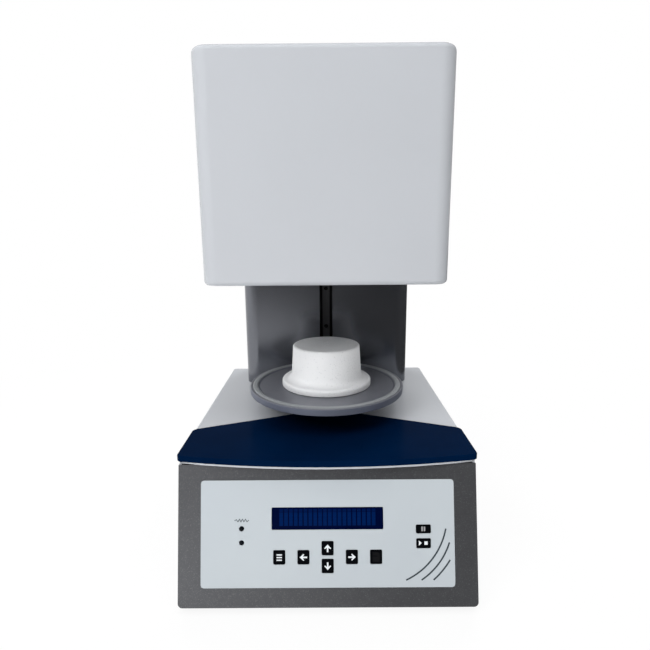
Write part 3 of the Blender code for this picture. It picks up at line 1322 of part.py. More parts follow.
def make_table():
    """Round table, dished, with a groove for the seal and a boss that centres the plug."""
    place = (0, TABLE_Y, TABLE_TOP)
    groove_in = SEAL_RADIUS - SEAL_WIDTH / 2 - CLEAR
    groove_out = SEAL_RADIUS + SEAL_WIDTH / 2 + CLEAR
    disc = -TABLE_DISH
    profile = [
        (0, disc + BOSS_HEIGHT),
        (BOSS_RADIUS, disc + BOSS_HEIGHT),
        (BOSS_RADIUS, disc),
        (TABLE_DISH_RADIUS, disc),
        (TABLE_DISH_RADIUS + TABLE_DISH_SLOPE, 0),
        (groove_in, 0),
        (groove_in, -SEAL_DEPTH),
        (groove_out, -SEAL_DEPTH),
        (groove_out, 0),
        (TABLE_RADIUS - TABLE_EDGE, 0),
        (TABLE_RADIUS, -TABLE_EDGE),
        (TABLE_RADIUS, TABLE_EDGE - TABLE_THICK),
        (TABLE_RADIUS - TABLE_EDGE, -TABLE_THICK),
        (0, -TABLE_THICK),
    ]
    turned("lift_table", profile, TABLE_GREY, place, steps=ROUND_STEPS)


def make_seal():
    """Soft ring in the table's groove, round on top."""
    bottom = CLEAR - SEAL_DEPTH
    half = SEAL_WIDTH / 2
    profile = []
    for step in range(2 * CORNER_STEPS + 1):
        angle = math.pi * step / (2 * CORNER_STEPS)
        profile.append((SEAL_RADIUS - half * math.cos(angle), SEAL_PROUD * math.sin(angle)))
    profile += [(SEAL_RADIUS + half, bottom), (SEAL_RADIUS - half, bottom)]
    turned("seal_ring", profile, SILICONE, (0, TABLE_Y, TABLE_TOP), steps=ROUND_STEPS)


def make_plug():
    """Firing plug of pressed fibre: a stand with a wide brim, hollowed below for the boss."""
    bottom = TABLE_DISC + CLEAR
    brim = bottom + BRIM_HEIGHT
    profile = [(0, PLUG_TOP - DIMPLE_DEPTH), (DIMPLE_RADIUS - DIMPLE_DEPTH, PLUG_TOP - DIMPLE_DEPTH)]
    profile += [(DIMPLE_RADIUS, PLUG_TOP), (PLUG_TOP_RADIUS - PLUG_EDGE, PLUG_TOP)]
    profile += [(PLUG_TOP_RADIUS, PLUG_TOP - PLUG_EDGE), (PLUG_BODY_RADIUS, brim + BRIM_FILLET)]
    for step in range(1, CORNER_STEPS + 1):
        angle = math.pi / 2 * step / CORNER_STEPS
        radius = PLUG_BODY_RADIUS + BRIM_FILLET * (1 - math.cos(angle))
        profile.append((radius, brim + BRIM_FILLET * (1 - math.sin(angle))))
    for step in range(CORNER_STEPS + 1):
        angle = math.pi / 2 * step / CORNER_STEPS
        radius = BRIM_RADIUS - BRIM_ROUND * (1 - math.sin(angle))
        profile.append((radius, brim - BRIM_ROUND * (1 - math.cos(angle))))
    socket = BOSS_RADIUS + CLEAR
    roof = bottom + BOSS_HEIGHT
    profile += [(BRIM_RADIUS, bottom + BRIM_EDGE), (BRIM_RADIUS - BRIM_EDGE, bottom), (socket, bottom)]
    profile += [(socket, roof), (0, roof)]
    place = (0, TABLE_Y, TABLE_DISC)
    local = [(radius, height - TABLE_DISC) for radius, height in profile]
    turned("firing_plug", local, CERAMIC_FIBRE, place, steps=ROUND_STEPS)


# Head and chamber


def make_head():
    """White head cover, open below, and the steel floor plate that closes it."""
    half = HEAD_WIDTH / 2
    shape = block_shape((-half, HEAD_FRONT, HEAD_BOTTOM), (half, HEAD_BACK, HEAD_TOP))
    bevel(shape, upright_edges(shape), HEAD_UPRIGHT_RADIUS)
    bevel(shape, edges_at(shape, HEAD_TOP), HEAD_TOP_RADIUS, ARC_STEPS // 2)
    bevel(shape, edges_at(shape, HEAD_BOTTOM), HEAD_BOTTOM_RADIUS, CORNER_STEPS)
    near = CLEAR / 10
    under = [face for face in shape.faces if all(abs(vert.co.z - HEAD_BOTTOM) < near for vert in face.verts)]
    bmesh.ops.inset_region(shape, faces=under, thickness=HEAD_LIP, use_even_offset=True)
    bmesh.ops.delete(shape, geom=under, context="FACES")
    cover = add_object("head_cover", mesh_of("head_cover", shape), WHITE_PAINT, (0, 0, 0), None)
    wall = cover.modifiers.new("wall", "SOLIDIFY")
    wall.thickness = HEAD_WALL
    wall.offset = -1
    wall.use_even_offset = True
    cut(cover, many_blocks("head_vents", vent_pair(VENT_SPREAD, HEAD_TOP - HEAD_VENT_DROP)))
    inset = HEAD_BOTTOM_RADIUS + HEAD_LIP + CLEAR
    corner = HEAD_UPRIGHT_RADIUS - inset
    rim = rounded(
        [
            (-half + inset, HEAD_FRONT + inset, corner),
            (half - inset, HEAD_FRONT + inset, corner),
            (half - inset, HEAD_BACK - inset, corner),
            (-half + inset, HEAD_BACK - inset, corner),
        ]
    )
    mouth = circle(MOUTH_RADIUS + FLOOR_SETBACK, (0, TABLE_Y))
    line = circle(LINE_RADIUS + RUNNING, (VACUUM_X, LINE_BACK_Y), SMALL_STEPS)
    sheet("head_floor", [rim, mouth, line], HEAD_FLOOR_BOTTOM, HEAD_FLOOR_TOP, STEEL)


def make_chamber():
    """Steel can with the muffle on its collar, the quartz liner and coil, the roof and the lid."""
    place = (0, TABLE_Y, 0)
    inner = CAN_RADIUS - CAN_WALL
    can = [
        (CAN_NECK_RADIUS, CAN_TOP),
        (CAN_RADIUS, CAN_TOP),
        (CAN_RADIUS, CHAMBER_BOTTOM + CAN_WALL),
        (CAN_RADIUS + CAN_FLANGE, CHAMBER_BOTTOM + CAN_WALL),
        (CAN_RADIUS + CAN_FLANGE, CHAMBER_BOTTOM),
        (inner, CHAMBER_BOTTOM),
        (inner, CAN_TOP - CAN_WALL),
        (CAN_NECK_RADIUS, CAN_TOP - CAN_WALL),
    ]
    turned("chamber_can", can, STEEL, place)
    outer = inner - CLEAR
    relief = CHAMBER_BOTTOM + MUFFLE_RELIEF
    collar = [
        (COLLAR_RADIUS, LEDGE),
        (outer, LEDGE),
        (outer, CHAMBER_BOTTOM),
        (MOUTH_RADIUS, CHAMBER_BOTTOM),
        (MOUTH_RADIUS, relief),
        (COLLAR_RADIUS, relief),
    ]
    turned("muffle_collar", collar, CERAMIC_FIBRE, place)
    turned("muffle_insulation", ring(HEATER_RADIUS, outer, LEDGE + CLEAR, MUFFLE_TOP), CERAMIC_FIBRE, place)
    coil_in = COIL_RADIUS * math.cos(math.pi / COIL_STEPS) - WIRE_RADIUS
    liner_out = coil_in - CLEAR
    liner_in = liner_out - LINER_WALL
    turned("quartz_liner", ring(liner_in, liner_out, LEDGE + CLEAR, MUFFLE_TOP - CLEAR), QUARTZ, place)
    roof = MUFFLE_TOP + CLEAR
    probe_hole = THERMOCOUPLE_RADIUS + CLEAR
    turned("upper_insulation", ring(probe_hole, outer, roof, roof + INSULATION_TOP), CERAMIC_FIBRE, place)
    turned("chamber_lid", ring(probe_hole, CAN_RADIUS, CAN_TOP + CLEAR, LID_TOP), STEEL, place)
    make_coil(place)
    make_thermocouple(place)


def ring(inside, outside, bottom, top):
    """The section of a plain ring."""
    return [(inside, top), (outside, top), (outside, bottom), (inside, bottom)]


def make_coil(place):
    """Heating coil: one unbroken helix between the liner and the muffle's bore."""
    radius = COIL_RADIUS
    low = LEDGE + WIRE_RADIUS + CLEAR
    pitch = (MUFFLE_TOP - CLEAR - WIRE_RADIUS - low) / COIL_TURNS
    points = []
    for step in range(COIL_TURNS * COIL_STEPS + 1):
        turn = step / COIL_STEPS
        angle = 2 * math.pi * turn
        points.append((radius * math.cos(angle), radius * math.sin(angle), low + pitch * turn))
    pipe("heating_coil", points, WIRE_RADIUS, HEATER_WIRE, place)
    print("heating coil: least gap between turns, mm", round((pitch - 2 * WIRE_RADIUS) * 1000, 2))


def make_thermocouple(place):
    """Thermocouple in its sheath, through the lid and the roof into the chamber."""
    base = LID_TOP + CLEAR
    flange_top = base + THERMOCOUPLE_FLANGE_THICK
    tip = MUFFLE_TOP - THERMOCOUPLE_TIP
    profile = [
        (0, flange_top + THERMOCOUPLE_HEAD_HEIGHT),
        (THERMOCOUPLE_HEAD, flange_top + THERMOCOUPLE_HEAD_HEIGHT),
        (THERMOCOUPLE_HEAD, flange_top),
        (THERMOCOUPLE_FLANGE, flange_top),
        (THERMOCOUPLE_FLANGE, base),
        (THERMOCOUPLE_RADIUS, base),
        (THERMOCOUPLE_RADIUS, tip + THERMOCOUPLE_RADIUS),
        (THERMOCOUPLE_RADIUS / 2, tip),
        (0, tip),
    ]
    turned("thermocouple", profile, CERAMIC_FIBRE, place, steps=SMALL_STEPS)


def make_furnace():
    """Makes every piece of the furnace."""
    make_base_housing()
    make_base_plate()
    make_feet()
    make_front_cover()
    make_panel()
    make_display()
    make_keys()
    make_lamps()
    make_keypad_board()
    socket_body("mains_inlet", INLET_FRAME, True)
    socket_body("pump_outlet", OUTLET_FRAME, False)
    make_switch()
    make_vacuum_port()
    make_vacuum_line()
    make_main_board()
    make_transformer()
    make_column()
    make_column_frame()
    make_rail()
    make_carriage()
    make_nut()
    make_lift_arm()
    make_screw_drive()
    make_table()
    make_seal()
    make_plug()
    make_head()
    make_chamber()


make_furnace()
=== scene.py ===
# %% [markdown]
# # A dental laboratory furnace
# A bench-top furnace for firing ceramics. A round table rises up a slotted column and carries a
# fibre plug into a heated chamber in the head. The CAD model gives every piece its size and place.
# This lesson gives the pieces that show their finer shapes and all of them their finishes, some
# with painted light and shade in them.

import math

import bmesh
import bpy
from mathutils import Matrix, Vector


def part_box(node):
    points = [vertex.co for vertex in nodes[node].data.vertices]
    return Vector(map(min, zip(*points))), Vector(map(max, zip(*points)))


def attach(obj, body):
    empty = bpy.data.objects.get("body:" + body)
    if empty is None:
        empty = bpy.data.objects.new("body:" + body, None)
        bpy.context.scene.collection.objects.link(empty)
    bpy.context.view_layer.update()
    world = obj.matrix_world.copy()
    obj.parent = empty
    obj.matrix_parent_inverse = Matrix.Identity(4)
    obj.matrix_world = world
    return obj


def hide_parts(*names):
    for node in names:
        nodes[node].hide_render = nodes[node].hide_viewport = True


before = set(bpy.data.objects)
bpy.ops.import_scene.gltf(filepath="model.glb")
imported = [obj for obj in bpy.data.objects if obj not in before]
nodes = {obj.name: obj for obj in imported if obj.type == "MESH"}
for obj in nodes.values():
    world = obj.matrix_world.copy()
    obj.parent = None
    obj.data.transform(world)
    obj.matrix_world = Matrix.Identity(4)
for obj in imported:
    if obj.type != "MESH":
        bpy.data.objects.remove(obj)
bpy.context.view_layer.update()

# %% [markdown]
# ## Helpers for materials
# Paint and plastic colours are written as screen values, so one function turns them into the
# linear numbers that a shader wants. A second function adds a node and links it, which keeps each
# material short enough to read as a recipe. Patterns use object coordinates, in metres, so a noise
# scale is one over the size of the grain.

# %% Colours and nodes
MM = 0.001


def linear(code):
    """Linear red, green, blue and alpha from a screen colour such as 0xD3D6DA."""
    channels = [(code >> shift & 255) / 255 for shift in (16, 8, 0)]
    return (*[c / 12.92 if c <= 0.04045 else ((c + 0.055) / 1.055) ** 2.4 for c in channels], 1.0)


def per_mm(size):
    """The scale of a pattern whose grain is this many millimetres."""
    return 1 / (size * MM)


def add_node(tree, kind, inputs=None, **settings):
    """Adds a node with its settings. An input is a value, or a (node, output) pair to link."""
    made = tree.nodes.new("ShaderNode" + kind)
    for name, value in settings.items():
        setattr(made, name, value)
    for name, value in (inputs or {}).items():
        if isinstance(value, tuple) and isinstance(value[0], bpy.types.Node):
            tree.links.new(value[0].outputs[value[1]], made.inputs[name])
        else:
            made.inputs[name].default_value = value
    return made


def start_material(name, slot, **values):
    """A Principled material with uniform values, its tree, its shader and its coordinates."""
    made = bpy.data.materials.new(name)
    made["slot"] = slot
    made.use_nodes = True
    tree = made.node_tree
    shader = tree.nodes["Principled BSDF"]
    for socket, value in values.items():
        shader.inputs[socket.replace("_", " ")].default_value = value
    place = (add_node(tree, "TexCoord"), "Object")
    print("finish:", name, "- slot", slot)
    return made, tree, shader, place


def feed(tree, source, output, shader, socket):
    """Links a node's output to a socket of the shader."""
    tree.links.new(source.outputs[output], shader.inputs[socket])


# %% [markdown]
# ## White powder coat
# The head and base are folded sheet steel with a gloss white powder coat. The powder melts into a
# film with a faint orange peel, waves about 2 mm long and a few microns high. A colour change of
# one or two parts in a hundred keeps the large faces from looking printed. The head and the base
# have one paint, given in two shades. The head's shade is darker, as painted shade, because the
# lamps light its front more. The base's shade is lighter, as painted light, because they light its
# top less. So one function makes both shades.

# %% White powder coat


def white_coat(name, light, dark):
    """A gloss white powder coat in a given shade; the head's and the base's shades are painted
    shade and painted light.
    """
    made, tree, shader, place = start_material(
        name, "white_paint", Roughness=0.2, Specular_IOR_Level=0.3
    )
    drift = add_node(tree, "TexNoise", {"Vector": place, "Scale": per_mm(140), "Detail": 2.0})
    tint = add_node(
        tree, "Mix", {0: (drift, "Fac"), 6: linear(light), 7: linear(dark)}, data_type="RGBA"
    )
    peel = add_node(tree, "TexNoise", {"Vector": place, "Scale": per_mm(2.2), "Detail": 1.0})
    wave = add_node(tree, "Bump", {"Height": (peel, "Fac"), "Strength": 0.05, "Distance": 0.2 * MM})
    feed(tree, tint, 2, shader, "Base Color")
    feed(tree, wave, "Normal", shader, "Normal")
    return made


# painted shade and painted light: one white paint, darker on the head because the lamps light its
# front more, lighter on the base because they light its top less
head_coat_painted_darker = white_coat("gloss_white_coat_painted_darker_for_head", 0xB9BCC1, 0xB4B7BC)
base_coat_painted_lighter = white_coat("gloss_white_coat_painted_lighter_for_base", 0xC6C9CE, 0xC1C4C9)

# %% [markdown]
# ## Navy gloss lacquer
# The front cover is a dark blue lacquered plate. Almost all that shows is its reflection, so its
# own colour is very dark, and its specular level is kept low enough for the blue to stay deep.

# %% Navy lacquer
navy_lacquer, tree, shader, place = start_material(
    "navy_gloss_lacquer", "navy_gloss", Roughness=0.16, Specular_IOR_Level=0.005
)
drift = add_node(tree, "TexNoise", {"Vector": place, "Scale": per_mm(60), "Detail": 3.0})
tint = add_node(
    tree, "Mix", {0: (drift, "Fac"), 6: linear(0x00112B), 7: linear(0x021B3B)}, data_type="RGBA"
)
peel = add_node(tree, "TexNoise", {"Vector": place, "Scale": per_mm(3), "Detail": 1.0})
wave = add_node(tree, "Bump", {"Height": (peel, "Fac"), "Strength": 0.04, "Distance": 0.2 * MM})
feed(tree, tint, 2, shader, "Base Color")
feed(tree, wave, "Normal", shader, "Normal")

# %% [markdown]
# ## Speckled metallic paint
# The control panel wears a metallic paint whose aluminium flakes catch the light one by one. Real
# flakes are under 0.1 mm; they are drawn 0.7 mm across here, because finer ones would blur into a
# plain grey at this size. A Voronoi pattern gives each cell its own random brightness, and only
# the brightest fifth or so of the cells shows as flakes.

# %% Panel paint
metallic_paint, tree, shader, place = start_material(
    "speckled_metallic_paint", "grey_metallic", Metallic=0.7, Roughness=0.32
)
FLAKE_FROM, FLAKE_FULL = 0.72, 0.95  # how bright a cell is where a flake starts and is whole
flakes = add_node(tree, "TexVoronoi", {"Vector": place, "Scale": per_mm(0.7)})
share = add_node(
    tree,
    "MapRange",
    {"Value": (flakes, "Color"), "From Min": FLAKE_FROM, "From Max": FLAKE_FULL},
)
cloud = add_node(tree, "TexNoise", {"Vector": place, "Scale": per_mm(9), "Detail": 4.0})
base = add_node(
    tree, "Mix", {0: (cloud, "Fac"), 6: linear(0x626366), 7: linear(0x6C6D70)}, data_type="RGBA"
)
spark = add_node(
    tree, "Mix", {0: (share, "Result"), 6: (base, 2), 7: linear(0x808184)}, data_type="RGBA"
)
feed(tree, spark, 2, shader, "Base Color")
grain = add_node(
    tree, "Bump", {"Height": (flakes, "Distance"), "Strength": 0.08, "Distance": 0.1 * MM}
)
feed(tree, grain, "Normal", shader, "Normal")

# %% [markdown]
# ## Satin grey paint of the column
# The column has a finer, smoother metallic paint. It mirrors the room in soft upright streaks,
# which a high metallic value and a fairly low roughness give.

# %% Column paint
column_paint, tree, shader, place = start_material(
    "satin_grey_metallic_paint", "column_grey", Metallic=0.85, Roughness=0.2
)
flakes = add_node(tree, "TexNoise", {"Vector": place, "Scale": per_mm(1.1), "Detail": 3.0})
tint = add_node(
    tree, "Mix", {0: (flakes, "Fac"), 6: linear(0x6E7076), 7: linear(0x787A80)}, data_type="RGBA"
)
wave = add_node(tree, "Bump", {"Height": (flakes, "Fac"), "Strength": 0.06, "Distance": 0.1 * MM})
feed(tree, tint, 2, shader, "Base Color")
feed(tree, wave, "Normal", shader, "Normal")

# %% [markdown]
# ## Label film, display, keys and lamps
# The label is a printed polyester film with a fine satin grain. The display window is tinted
# acrylic over a dark blue module. Keys are moulded silicone with printed signs. Inks and moulded
# rubber differ only in colour, grain and gloss, so one function makes them all.

# %% Label film
label_film, tree, shader, place = start_material(
    "printed_polyester_film", "label_film", Roughness=0.38, Specular_IOR_Level=0.4
)
grain = add_node(tree, "TexNoise", {"Vector": place, "Scale": per_mm(0.6), "Detail": 2.0})
drift = add_node(tree, "TexNoise", {"Vector": place, "Scale": per_mm(90), "Detail": 2.0})
tint = add_node(
    tree, "Mix", {0: (drift, "Fac"), 6: linear(0xB8BFC3), 7: linear(0xB1B8BE)}, data_type="RGBA"
)
wave = add_node(tree, "Bump", {"Height": (grain, "Fac"), "Strength": 0.08, "Distance": 0.05 * MM})
feed(tree, tint, 2, shader, "Base Color")
feed(tree, wave, "Normal", shader, "Normal")

# %% Inks printed on the film and on the keys


def ink(name, slot, light, dark, grain_mm=0.5, gloss=0.25):
    """A printed or moulded colour with a fine grain, from two close shades."""
    made, tree, shader, place = start_material(name, slot, Roughness=0.45, Specular_IOR_Level=gloss)
    grain = add_node(tree, "TexNoise", {"Vector": place, "Scale": per_mm(grain_mm), "Detail": 2.0})
    tint = add_node(
        tree, "Mix", {0: (grain, "Fac"), 6: linear(light), 7: linear(dark)}, data_type="RGBA"
    )
    wave = add_node(
        tree, "Bump", {"Height": (grain, "Fac"), "Strength": 0.1, "Distance": 0.05 * MM}
    )
    feed(tree, tint, 2, shader, "Base Color")
    feed(tree, wave, "Normal", shader, "Normal")
    return made


dark_ink = ink("dark_grey_ink", "label_film", 0x3C444A, 0x343B41)
wave_ink = ink("mid_grey_ink", "label_film", 0x4A5156, 0x40474C)
white_ink = ink("white_ink", "key_black", 0xDEE2E5, 0xD2D6DA)
grey_ink = ink("grey_ink", "key_black", 0x9C9C9E, 0x8E8E90)
faint_ink = ink("faint_grey_ink", "key_black", 0x18181A, 0x131315, gloss=0.03)
key_rubber = ink("moulded_black_silicone", "key_black", 0x050609, 0x08090C, gloss=0.02)

# %% Display glass and its character cells
display_glass, tree, shader, place = start_material(
    "tinted_acrylic_window", "display_blue", Roughness=0.12, Specular_IOR_Level=0.02
)
drift = add_node(tree, "TexNoise", {"Vector": place, "Scale": per_mm(30), "Detail": 1.0})
tint = add_node(
    tree, "Mix", {0: (drift, "Fac"), 6: linear(0x000420), 7: linear(0x000A30)}, data_type="RGBA"
)
feed(tree, tint, 2, shader, "Base Color")


def cell_blue(name, light, dark):
    """An unlit character cell: a fine grid of dots under tinted plastic."""
    made, tree, shader, place = start_material(
        name, "display_blue", Roughness=0.2, Specular_IOR_Level=0.02
    )
    dots = add_node(tree, "TexVoronoi", {"Vector": place, "Scale": per_mm(0.8), "Randomness": 0.0})
    tint = add_node(
        tree, "Mix", {0: (dots, "Distance"), 6: linear(light), 7: linear(dark)}, data_type="RGBA"
    )
    feed(tree, tint, 2, shader, "Base Color")
    return made


display_cell = cell_blue("unlit_display_cell", 0x001C50, 0x001640)
display_rim = cell_blue("display_cell_upper_row", 0x001648, 0x00103A)

# %% Lamp lens
lamp_lens, tree, shader, place = start_material(
    "smoked_lens", "lamp_clear", Roughness=0.12, Specular_IOR_Level=0.15
)
drift = add_node(tree, "TexNoise", {"Vector": place, "Scale": per_mm(1.5), "Detail": 1.0})
tint = add_node(
    tree, "Mix", {0: (drift, "Fac"), 6: linear(0x05080D), 7: linear(0x0B1016)}, data_type="RGBA"
)
feed(tree, tint, 2, shader, "Base Color")

# %% [markdown]
# ## Table and seal
# The table is turned from aluminium and anodised a satin grey. Turning leaves fine rings about the
# axis, so the pattern is a set of rings around the table's own middle. Real tool marks are 0.1 mm
# apart; they are drawn 2.5 mm apart, because finer ones would blur into plain grey. Its faces are
# painted lighter than its edge. The edge's darker bluish grey is painted shade and a painted
# reflection of the navy cover below it. The piece stores how far each face looks up, as an
# attribute, and that picks the shade. The seal is a light grey silicone ring.

# %% Turned aluminium and silicone
table_low, table_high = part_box("lift_table")
table_middle = (table_low + table_high) / 2
RING_GAP = 2.5  # millimetres from one ring to the next
WAVES_PER_UNIT = 20 / (2 * math.pi)  # what a wave texture draws at a scale of 1

turned_aluminium, tree, shader, place = start_material(
    "turned_anodised_aluminium", "table_grey", Metallic=0.3, Roughness=0.42
)
centred = add_node(
    tree, "Mapping", {"Vector": place, "Location": (-table_middle.x, -table_middle.y, 0)}
)
rings = add_node(
    tree,
    "TexWave",
    {
        "Vector": (centred, "Vector"),
        "Scale": per_mm(RING_GAP) / WAVES_PER_UNIT,
        "Distortion": 0.4,
        "Detail": 2.0,
    },
    wave_type="RINGS",
    rings_direction="Z",
)
mottle = add_node(tree, "TexNoise", {"Vector": place, "Scale": per_mm(14), "Detail": 4.0})
face = add_node(
    tree, "Mix", {0: (mottle, "Fac"), 6: linear(0x72747C), 7: linear(0x7E8088)}, data_type="RGBA"
)
upward_shade_mask = add_node(tree, "Attribute", attribute_name="upward_shade_mask")
# painted shade and painted reflection: faces that look sideways, such as the edge, get a darker
# bluish grey that stands for the navy cover's reflection
tint = add_node(
    tree, "Mix", {0: (upward_shade_mask, "Fac"), 6: linear(0x606574), 7: (face, 2)}, data_type="RGBA"
)
marks = add_node(tree, "Bump", {"Height": (rings, "Fac"), "Strength": 0.08, "Distance": 0.1 * MM})
feed(tree, tint, 2, shader, "Base Color")
feed(tree, marks, "Normal", shader, "Normal")

silicone = ink("light_grey_silicone", "silicone", 0x969A9D, 0x8D9094, 1.5)

# %% [markdown]
# ## Pressed ceramic fibre
# The plug and the muffle are vacuum-formed alumina fibre: a matt, bright white board with short
# matted fibres and small open pits. Real matting is under 1 mm; its noise is drawn at 2.6 mm, so
# that it still shows at this size. A larger noise gives a faint soiling, and a Voronoi pattern,
# kept only near its cell centres, gives the pits. The pits are dented by the bump and painted
# darker, which is painted shade in them.

# %% Ceramic fibre
ceramic_fibre, tree, shader, place = start_material(
    "pressed_ceramic_fibre", "ceramic_fibre", Roughness=0.92, Specular_IOR_Level=0.2
)
matting = add_node(tree, "TexNoise", {"Vector": place, "Scale": per_mm(2.6), "Detail": 6.0})
cells = add_node(tree, "TexVoronoi", {"Vector": place, "Scale": per_mm(3.2)})
PIT_FLOOR, PIT_RIM = 0.05, 0.2  # how far from a cell's centre, as a share of the cell
pits = add_node(
    tree, "MapRange", {"Value": (cells, "Distance"), "From Min": PIT_FLOOR, "From Max": PIT_RIM}
)
relief = add_node(tree, "Math", {0: (matting, "Fac"), 1: (pits, "Result")}, operation="MULTIPLY")
soil = add_node(tree, "TexNoise", {"Vector": place, "Scale": per_mm(22), "Detail": 3.0})
cloth = add_node(
    tree, "Mix", {0: (soil, "Fac"), 6: linear(0xF7F8F9), 7: linear(0xEFF0F2)}, data_type="RGBA"
)
# painted shade: the middles of the pits are darkened to a grey
tint = add_node(
    tree, "Mix", {0: (pits, "Result"), 6: linear(0xD6D8DB), 7: (cloth, 2)}, data_type="RGBA"
)
rough = add_node(tree, "Bump", {"Height": (relief, 0), "Strength": 0.6, "Distance": 0.9 * MM})
feed(tree, tint, 2, shader, "Base Color")
feed(tree, rough, "Normal", shader, "Normal")

# %% [markdown]
# ## Metals, rubber and boards
# The other metals share one recipe: a metal's own colour, and a noise stretched along the way
# that the piece was drawn, rolled or brushed, which breaks up its roughness. Rubber, moulded
# plastic and circuit boards are the printed colours' recipe with other grains.

# %% Metals
POLISH_SPREAD = 0.25  # how far the roughness swings to either side, as a share of it


def metal(name, slot, light, dark, roughness, stretch=(1, 1, 8), grain_mm=1.5, metallic=1.0):
    """A metal whose colour and polish vary in a grain that runs along one way."""
    made, tree, shader, place = start_material(name, slot, Metallic=metallic)
    along = add_node(tree, "Mapping", {"Vector": place, "Scale": [1 / part for part in stretch]})
    grain = add_node(
        tree, "TexNoise", {"Vector": (along, "Vector"), "Scale": per_mm(grain_mm), "Detail": 4.0}
    )
    tint = add_node(
        tree, "Mix", {0: (grain, "Fac"), 6: linear(light), 7: linear(dark)}, data_type="RGBA"
    )
    swing = roughness * POLISH_SPREAD
    polish = add_node(
        tree,
        "MapRange",
        {"Value": (grain, "Fac"), "To Min": roughness - swing, "To Max": roughness + swing},
    )
    feed(tree, tint, 2, shader, "Base Color")
    feed(tree, polish, "Result", shader, "Roughness")
    return made


zinc_steel = metal("zinc_plated_sheet_steel", "steel", 0xB0B3B6, 0x989B9F, 0.36, (6, 1, 1), 2.0)
rail_steel = metal("blackened_rail_steel", "dark_steel", 0x646466, 0x525254, 0.42)
# painted shade: on the column's frame this near-black stands for the shade inside the column, seen
# through the slot; on the screws it is their own black oxide
black_oxide_and_shade_steel = metal("black_oxide_steel_and_painted_shade", "dark_steel", 0x161618, 0x0E0E10, 0.5, metallic=0.5)
ground_steel = metal("ground_steel", "steel", 0xB4B6B9, 0xA2A5A8, 0.22, (1, 1, 1), 0.6)
cast_steel = metal("blackened_steel", "dark_steel", 0x505358, 0x44474C, 0.45, (4, 4, 1), 2.0)
machined = metal("machined_aluminium", "aluminium", 0xC0C3C6, 0xACAFB3, 0.3, (1, 1, 1), 0.8)
bronze = metal("bearing_bronze", "bronze", 0xAE8448, 0x98723C, 0.34, (1, 1, 1), 0.8)
copper = metal("drawn_copper", "copper", 0xBC7A52, 0xA36642, 0.3, (1, 1, 6), 1.0)
resistance_wire = metal("oxidised_resistance_wire", "heater_wire", 0x75645A, 0x5A4C44, 0.55)

# %% Rubber, plastic, boards and quartz
foot_rubber = ink("moulded_black_rubber", "rubber", 0x262729, 0x1C1D1F, 0.8)
black_plastic = ink("moulded_black_plastic", "black_plastic", 0x1E1F21, 0x17181A, 0.7)
board_green = ink("solder_mask", "board_green", 0x1F6A40, 0x17492E, 5.0)

quartz, tree, shader, place = start_material(
    "clear_fused_quartz", "quartz", Roughness=0.06, Transmission_Weight=0.9, IOR=1.46
)
drift = add_node(tree, "TexNoise", {"Vector": place, "Scale": per_mm(25), "Detail": 1.0})
tint = add_node(
    tree, "Mix", {0: (drift, "Fac"), 6: linear(0xF4F7F9), 7: linear(0xE6ECF0)}, data_type="RGBA"
)
feed(tree, tint, 2, shader, "Base Color")
print("materials:", len(bpy.data.materials))

# %% [markdown]
# ## Helpers for shapes
# Most new pieces are one of two forms: a flat outline that is extruded, or a profile that is spun
# about an axis. Each ends the same way: smooth shading with sharp edges kept, and weighted
# normals, so that flat faces stay flat right up to their rounded edges.

# %% Ending a piece
SHARP = math.radians(38)  # edges that bend more than this stay sharp
WELD = MM / 1000  # points nearer to each other than this are one
NEAR = MM / 10  # heights nearer to each other than this are alike


def bake_modifiers(piece):
    """Makes a piece's modifiers part of its mesh."""
    solid = piece.evaluated_get(bpy.context.evaluated_depsgraph_get())
    mesh = bpy.data.meshes.new_from_object(solid)
    piece.modifiers.clear()
    old, piece.data = piece.data, mesh
    bpy.data.meshes.remove(old)


def end_piece(piece, body, stands_for=()):
    """Smooths a piece, puts it on its body, and hides the CAD nodes it stands for."""
    piece.data.shade_smooth()
    piece.data.set_sharp_from_angle(angle=SHARP)
    piece.modifiers.new("weighted", "WEIGHTED_NORMAL").keep_sharp = True
    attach(piece, body)
    if stands_for:
        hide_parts(*stands_for)
    print(piece.name, "-", len(piece.data.polygons), "faces on", body)
    return piece


def new_object(name, shape, finish):
    """A bmesh as an object with one finish."""
    mesh = bpy.data.meshes.new(name)
    shape.to_mesh(mesh)
    shape.free()
    mesh.materials.append(finish)
    piece = bpy.data.objects.new(name, mesh)
    bpy.context.scene.collection.objects.link(piece)
    return piece


def add_piece(name, shape, finish, body, stands_for=()):
    """A bmesh as a finished piece."""
    return end_piece(new_object(name, shape, finish), body, stands_for)


# %% [markdown]
# ## Copies of CAD nodes
# Some nodes have the right shape already, but their mesh is loose triangles, which shade as flat
# facets. A copy is welded and its flat faces are merged, so that its round sides shade smoothly.
# The node itself stays as it is.

# %% Copying a CAD node
FLAT = math.radians(0.5)  # faces that bend less than this are merged


def welded(node, name, finish, body):
    """A welded, smooth copy of a CAD node, which stands for it."""
    shape = bmesh.new()
    shape.from_mesh(nodes[node].data)
    bmesh.ops.remove_doubles(shape, verts=shape.verts, dist=WELD)
    bmesh.ops.dissolve_limit(shape, angle_limit=FLAT, verts=shape.verts, edges=shape.edges)
    return add_piece(name, shape, finish, body, [node])


# %% [markdown]
# ## Plates, boxes, spun shapes and cuts
# A plate is a flat outline, rounded at its corners while it is flat and then raised, so that its
# sides stay upright. Edges that are rounded later, such as a top rim, go round those corners. The
# Bevel operator's defaults differ from the editor's, so one function names them all.

# %% Rounding


def round_off(shape, geom, radius, steps, affect="EDGES"):
    """Rounds edges, or the corners of a flat outline."""
    bmesh.ops.bevel(
        shape,
        geom=geom,
        offset=radius,
        offset_type="OFFSET",
        segments=steps,
        profile=0.5,
        affect=affect,
        material=-1,
        clamp_overlap=affect == "EDGES",
    )


